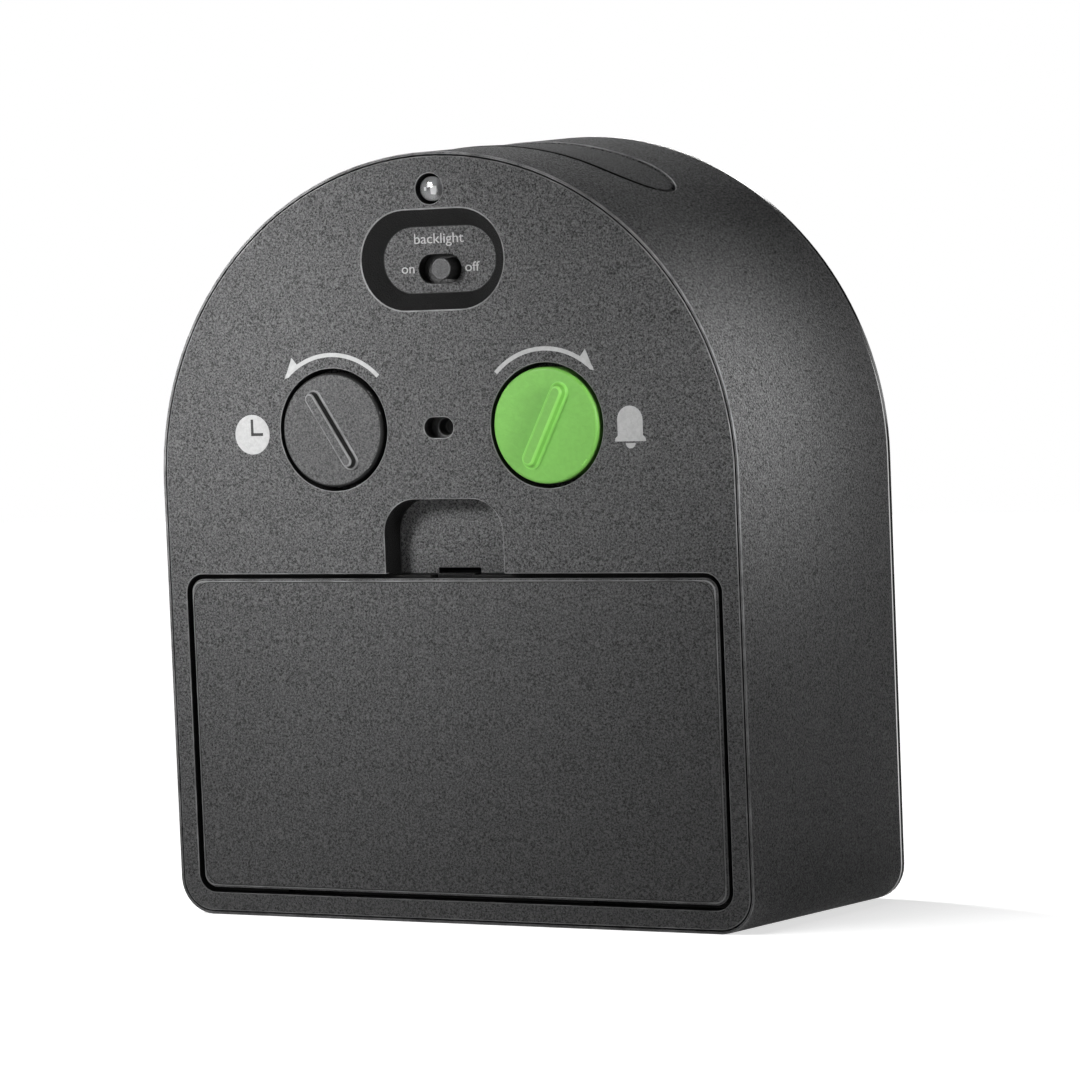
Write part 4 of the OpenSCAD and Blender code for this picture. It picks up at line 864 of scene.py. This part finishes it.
# Painted shadow: a fine dark line just inside the door's bevelled edge, where the door's step lies in shade
doorShadowLine = {"half": 42.6, "bottom": 4.01, "top": 49.65, "corner": 3.2, "inset": 0.42, "width": 0.14,
            "thickness": 0.012}


def roundedOutline(half, low, high, radius):
    points = []
    for cx, cy, start in ((half - radius, high - radius, 0), (radius - half, high - radius, 90),
                          (radius - half, low + radius, 180), (half - radius, low + radius, 270)):
        points += arcPoints((cx, cy), radius, start, start + 90, 8)
    return points


def addDoorLine():
    p = doorShadowLine
    heights = (-printForm["sunk"], p["thickness"])
    bm = bmesh.new()
    rings = []
    for inset in (p["inset"], p["inset"] + p["width"]):
        outline = roundedOutline(p["half"] - inset, p["bottom"] + inset, p["top"] - inset,
                                 p["corner"] - inset)
        rings.append([[bm.verts.new(faceBack @ Vector((x, y, z))) for x, y in outline] for z in heights])
    (outLow, outHigh), (inLow, inHigh) = rings
    for i in range(len(outLow)):
        k = (i + 1) % len(outLow)
        bm.faces.new((outHigh[i], outHigh[k], inHigh[k], inHigh[i]))
        bm.faces.new((outLow[k], outLow[i], inLow[i], inLow[k]))
        bm.faces.new((outLow[i], outLow[k], outHigh[k], outHigh[i]))
        bm.faces.new((inLow[k], inLow[i], inHigh[i], inHigh[k]))
    finishPiece("door_edge_line", bm, "print_black", "door")


addDoorLine()
print("sensor and door line made")

# Camera where the photograph was taken, in metres and degrees
cameraPlace = {"location": (-0.28025, 0.54384, 0.06804), "turn": (88.7154, 1.0640, -152.8986),
               "lens": 137.56, "sensor": 36.0, "nearest": 0.01}


def addCamera():
    p = cameraPlace
    data = bpy.data.cameras.new("photo_camera")
    data.lens = p["lens"]
    data.sensor_width = p["sensor"]
    data.sensor_fit = "HORIZONTAL"
    data.clip_start = p["nearest"]
    data.dof.use_dof = False
    obj = bpy.data.objects.new("photo_camera", data)
    obj.location = p["location"]
    obj.rotation_euler = [math.radians(t) for t in p["turn"]]
    scene.collection.objects.link(obj)
    scene.camera = obj


# Soft lamps: place and target in metres, size in metres, power in watts, spread in degrees
studioLamps = {
    "key_left": {"at": (0.09, 0.20, 0.14), "to": (0.04, 0.03, 0.09),
                 "size": 0.06, "power": 0.042, "spread": 45},
    "key_far": {"at": (0.10, 0.33, 0.16), "to": (0.045, 0.03, 0.088),
                "size": 0.08, "power": 0.005, "spread": 40},
    "shoulder": {"at": (-0.15, 0.06, 0.105), "to": (-0.047, 0.022, 0.077),
                 "size": 0.03, "power": 0.0075, "spread": 32},
    "rim_right": {"at": (-0.13, -0.16, 0.115), "to": (-0.047, 0.02, 0.083),
                  "size": 0.06, "power": 0.0065, "spread": 40},
    "top_left": {"at": (0.45, -0.15, 0.50), "to": (0.0, 0.0, 0.115),
                 "size": 0.15, "power": 0.2, "spread": 30},
    "dial_key": {"at": (0.10, -0.62, 0.58), "to": (0.0, -0.02, 0.06),
                 "size": 0.25, "power": 0.85, "spread": 60},
}
# The dial's lamp stands high, so that the window never mirrors it, and lights only what is at the front
litByDialLamp = ("dial", "lens", "light_guide", "front_bezel", "hour_hand", "minute_hand", "second_hand",
                 "alarm_hand", "dial_nut", "dial_numerals", "dial_ticks", "inlay_minute", "inlay_hour")


def aimed(start, target):
    return (Vector(target) - Vector(start)).to_track_quat("-Z", "Y").to_euler()


def addLamp(name, p):
    data = bpy.data.lights.new(name, "AREA")
    data.shape = "SQUARE"
    data.size = p["size"]
    data.energy = p["power"]
    data.spread = math.radians(p["spread"])
    obj = bpy.data.objects.new(name, data)
    obj.location = p["at"]
    obj.rotation_euler = aimed(p["at"], p["to"])
    obj.visible_camera = False
    scene.collection.objects.link(obj)
    return obj


def lightOnly(lamp, label, pieces):
    lit = bpy.data.collections.new(label)
    for piece in pieces:
        lit.objects.link(piece)
    lamp.light_linking.receiver_collection = lit


def addLamps():
    lamps = {name: addLamp(name, p) for name, p in studioLamps.items()}
    atFront = [nodes[name] if name in nodes else bpy.data.objects[name] for name in litByDialLamp]
    lightOnly(lamps["dial_key"], "front_only", atFront)


def seenDirectly(tree):
    # 1 for rays from the camera and for rays through or off gloss and glass
    path = addNode(tree, "ShaderNodeLightPath")
    most = mathNode(tree, "MAXIMUM", path.outputs["Is Camera Ray"], path.outputs["Is Glossy Ray"])
    return mathNode(tree, "MAXIMUM", most, path.outputs["Is Transmission Ray"])


# White walls up to a low ceiling line, a dim ceiling above them, and a soft fill for shaded surfaces
worldLight = {"fill": 0.04, "wall": 1.0, "ceiling": 0.12, "wallTop": 0.2, "ceilingFrom": 0.42}


def addWorld():
    p = worldLight
    world = bpy.data.worlds.new("studio")
    world.use_nodes = True
    tree = world.node_tree
    sky = tree.nodes["Background"]
    place = addNode(tree, "ShaderNodeTexCoord")
    split = addNode(tree, "ShaderNodeSeparateXYZ")
    tree.links.new(place.outputs["Generated"], split.inputs["Vector"])
    height = addNode(tree, "ShaderNodeMapRange", {"interpolation_type": "SMOOTHSTEP"}, From_Min=p["wallTop"],
                     From_Max=p["ceilingFrom"], To_Min=p["wall"], To_Max=p["ceiling"])
    tree.links.new(split.outputs["Z"], height.inputs["Value"])
    direct = seenDirectly(tree)
    seen = mathNode(tree, "MULTIPLY", direct, height.outputs["Result"])
    unseen = mathNode(tree, "MULTIPLY", mathNode(tree, "SUBTRACT", 1.0, direct), p["fill"])
    tree.links.new(mathNode(tree, "ADD", seen, unseen), sky.inputs["Strength"])
    sky.inputs["Color"].default_value = (1, 1, 1, 1)
    scene.world = world


# White floor: a lamp that lights nothing else gives it the shadow, and a lift that only the camera, gloss
# and glass see makes it white
floorLook = {"half": 3.0, "colour": (0.6, 0.6, 0.6), "lift": 0.68}
floorLamp = {"at": (0.7, 1.0, 1.6), "strength": 2.8, "width": 50}


def addFloor():
    p = floorLook
    bm = bmesh.new()
    bmesh.ops.create_grid(bm, x_segments=2, y_segments=2, size=p["half"])
    mesh = bpy.data.meshes.new("floor")
    bm.to_mesh(mesh)
    bm.free()
    obj = bpy.data.objects.new("floor", mesh)
    scene.collection.objects.link(obj)
    material = bpy.data.materials.new("floor_white")
    material.use_nodes = True
    tree = material.node_tree
    tree.nodes.remove(tree.nodes["Principled BSDF"])
    paper = addNode(tree, "ShaderNodeBsdfDiffuse", Color=(*p["colour"], 1))
    glow = addNode(tree, "ShaderNodeEmission")
    tree.links.new(mathNode(tree, "MULTIPLY", seenDirectly(tree), p["lift"]), glow.inputs["Strength"])
    both = tree.nodes.new("ShaderNodeAddShader")
    tree.links.new(paper.outputs[0], both.inputs[0])
    tree.links.new(glow.outputs[0], both.inputs[1])
    tree.links.new(both.outputs[0], tree.nodes["Material Output"].inputs["Surface"])
    mesh.materials.append(material)
    return obj


def addFloorLamp(floor):
    p = floorLamp
    sun = bpy.data.lights.new("floor_soft", "SUN")
    sun.energy = p["strength"]
    sun.angle = math.radians(p["width"])
    lamp = bpy.data.objects.new("floor_soft", sun)
    lamp.location = p["at"]
    lamp.rotation_euler = aimed(p["at"], (0, 0, 0))
    scene.collection.objects.link(lamp)
    lightOnly(lamp, "floor_only", [floor])


addCamera()
addLamps()
addWorld()
addFloorLamp(addFloor())
scene.view_settings.view_transform = "Standard"
print("studio ready")
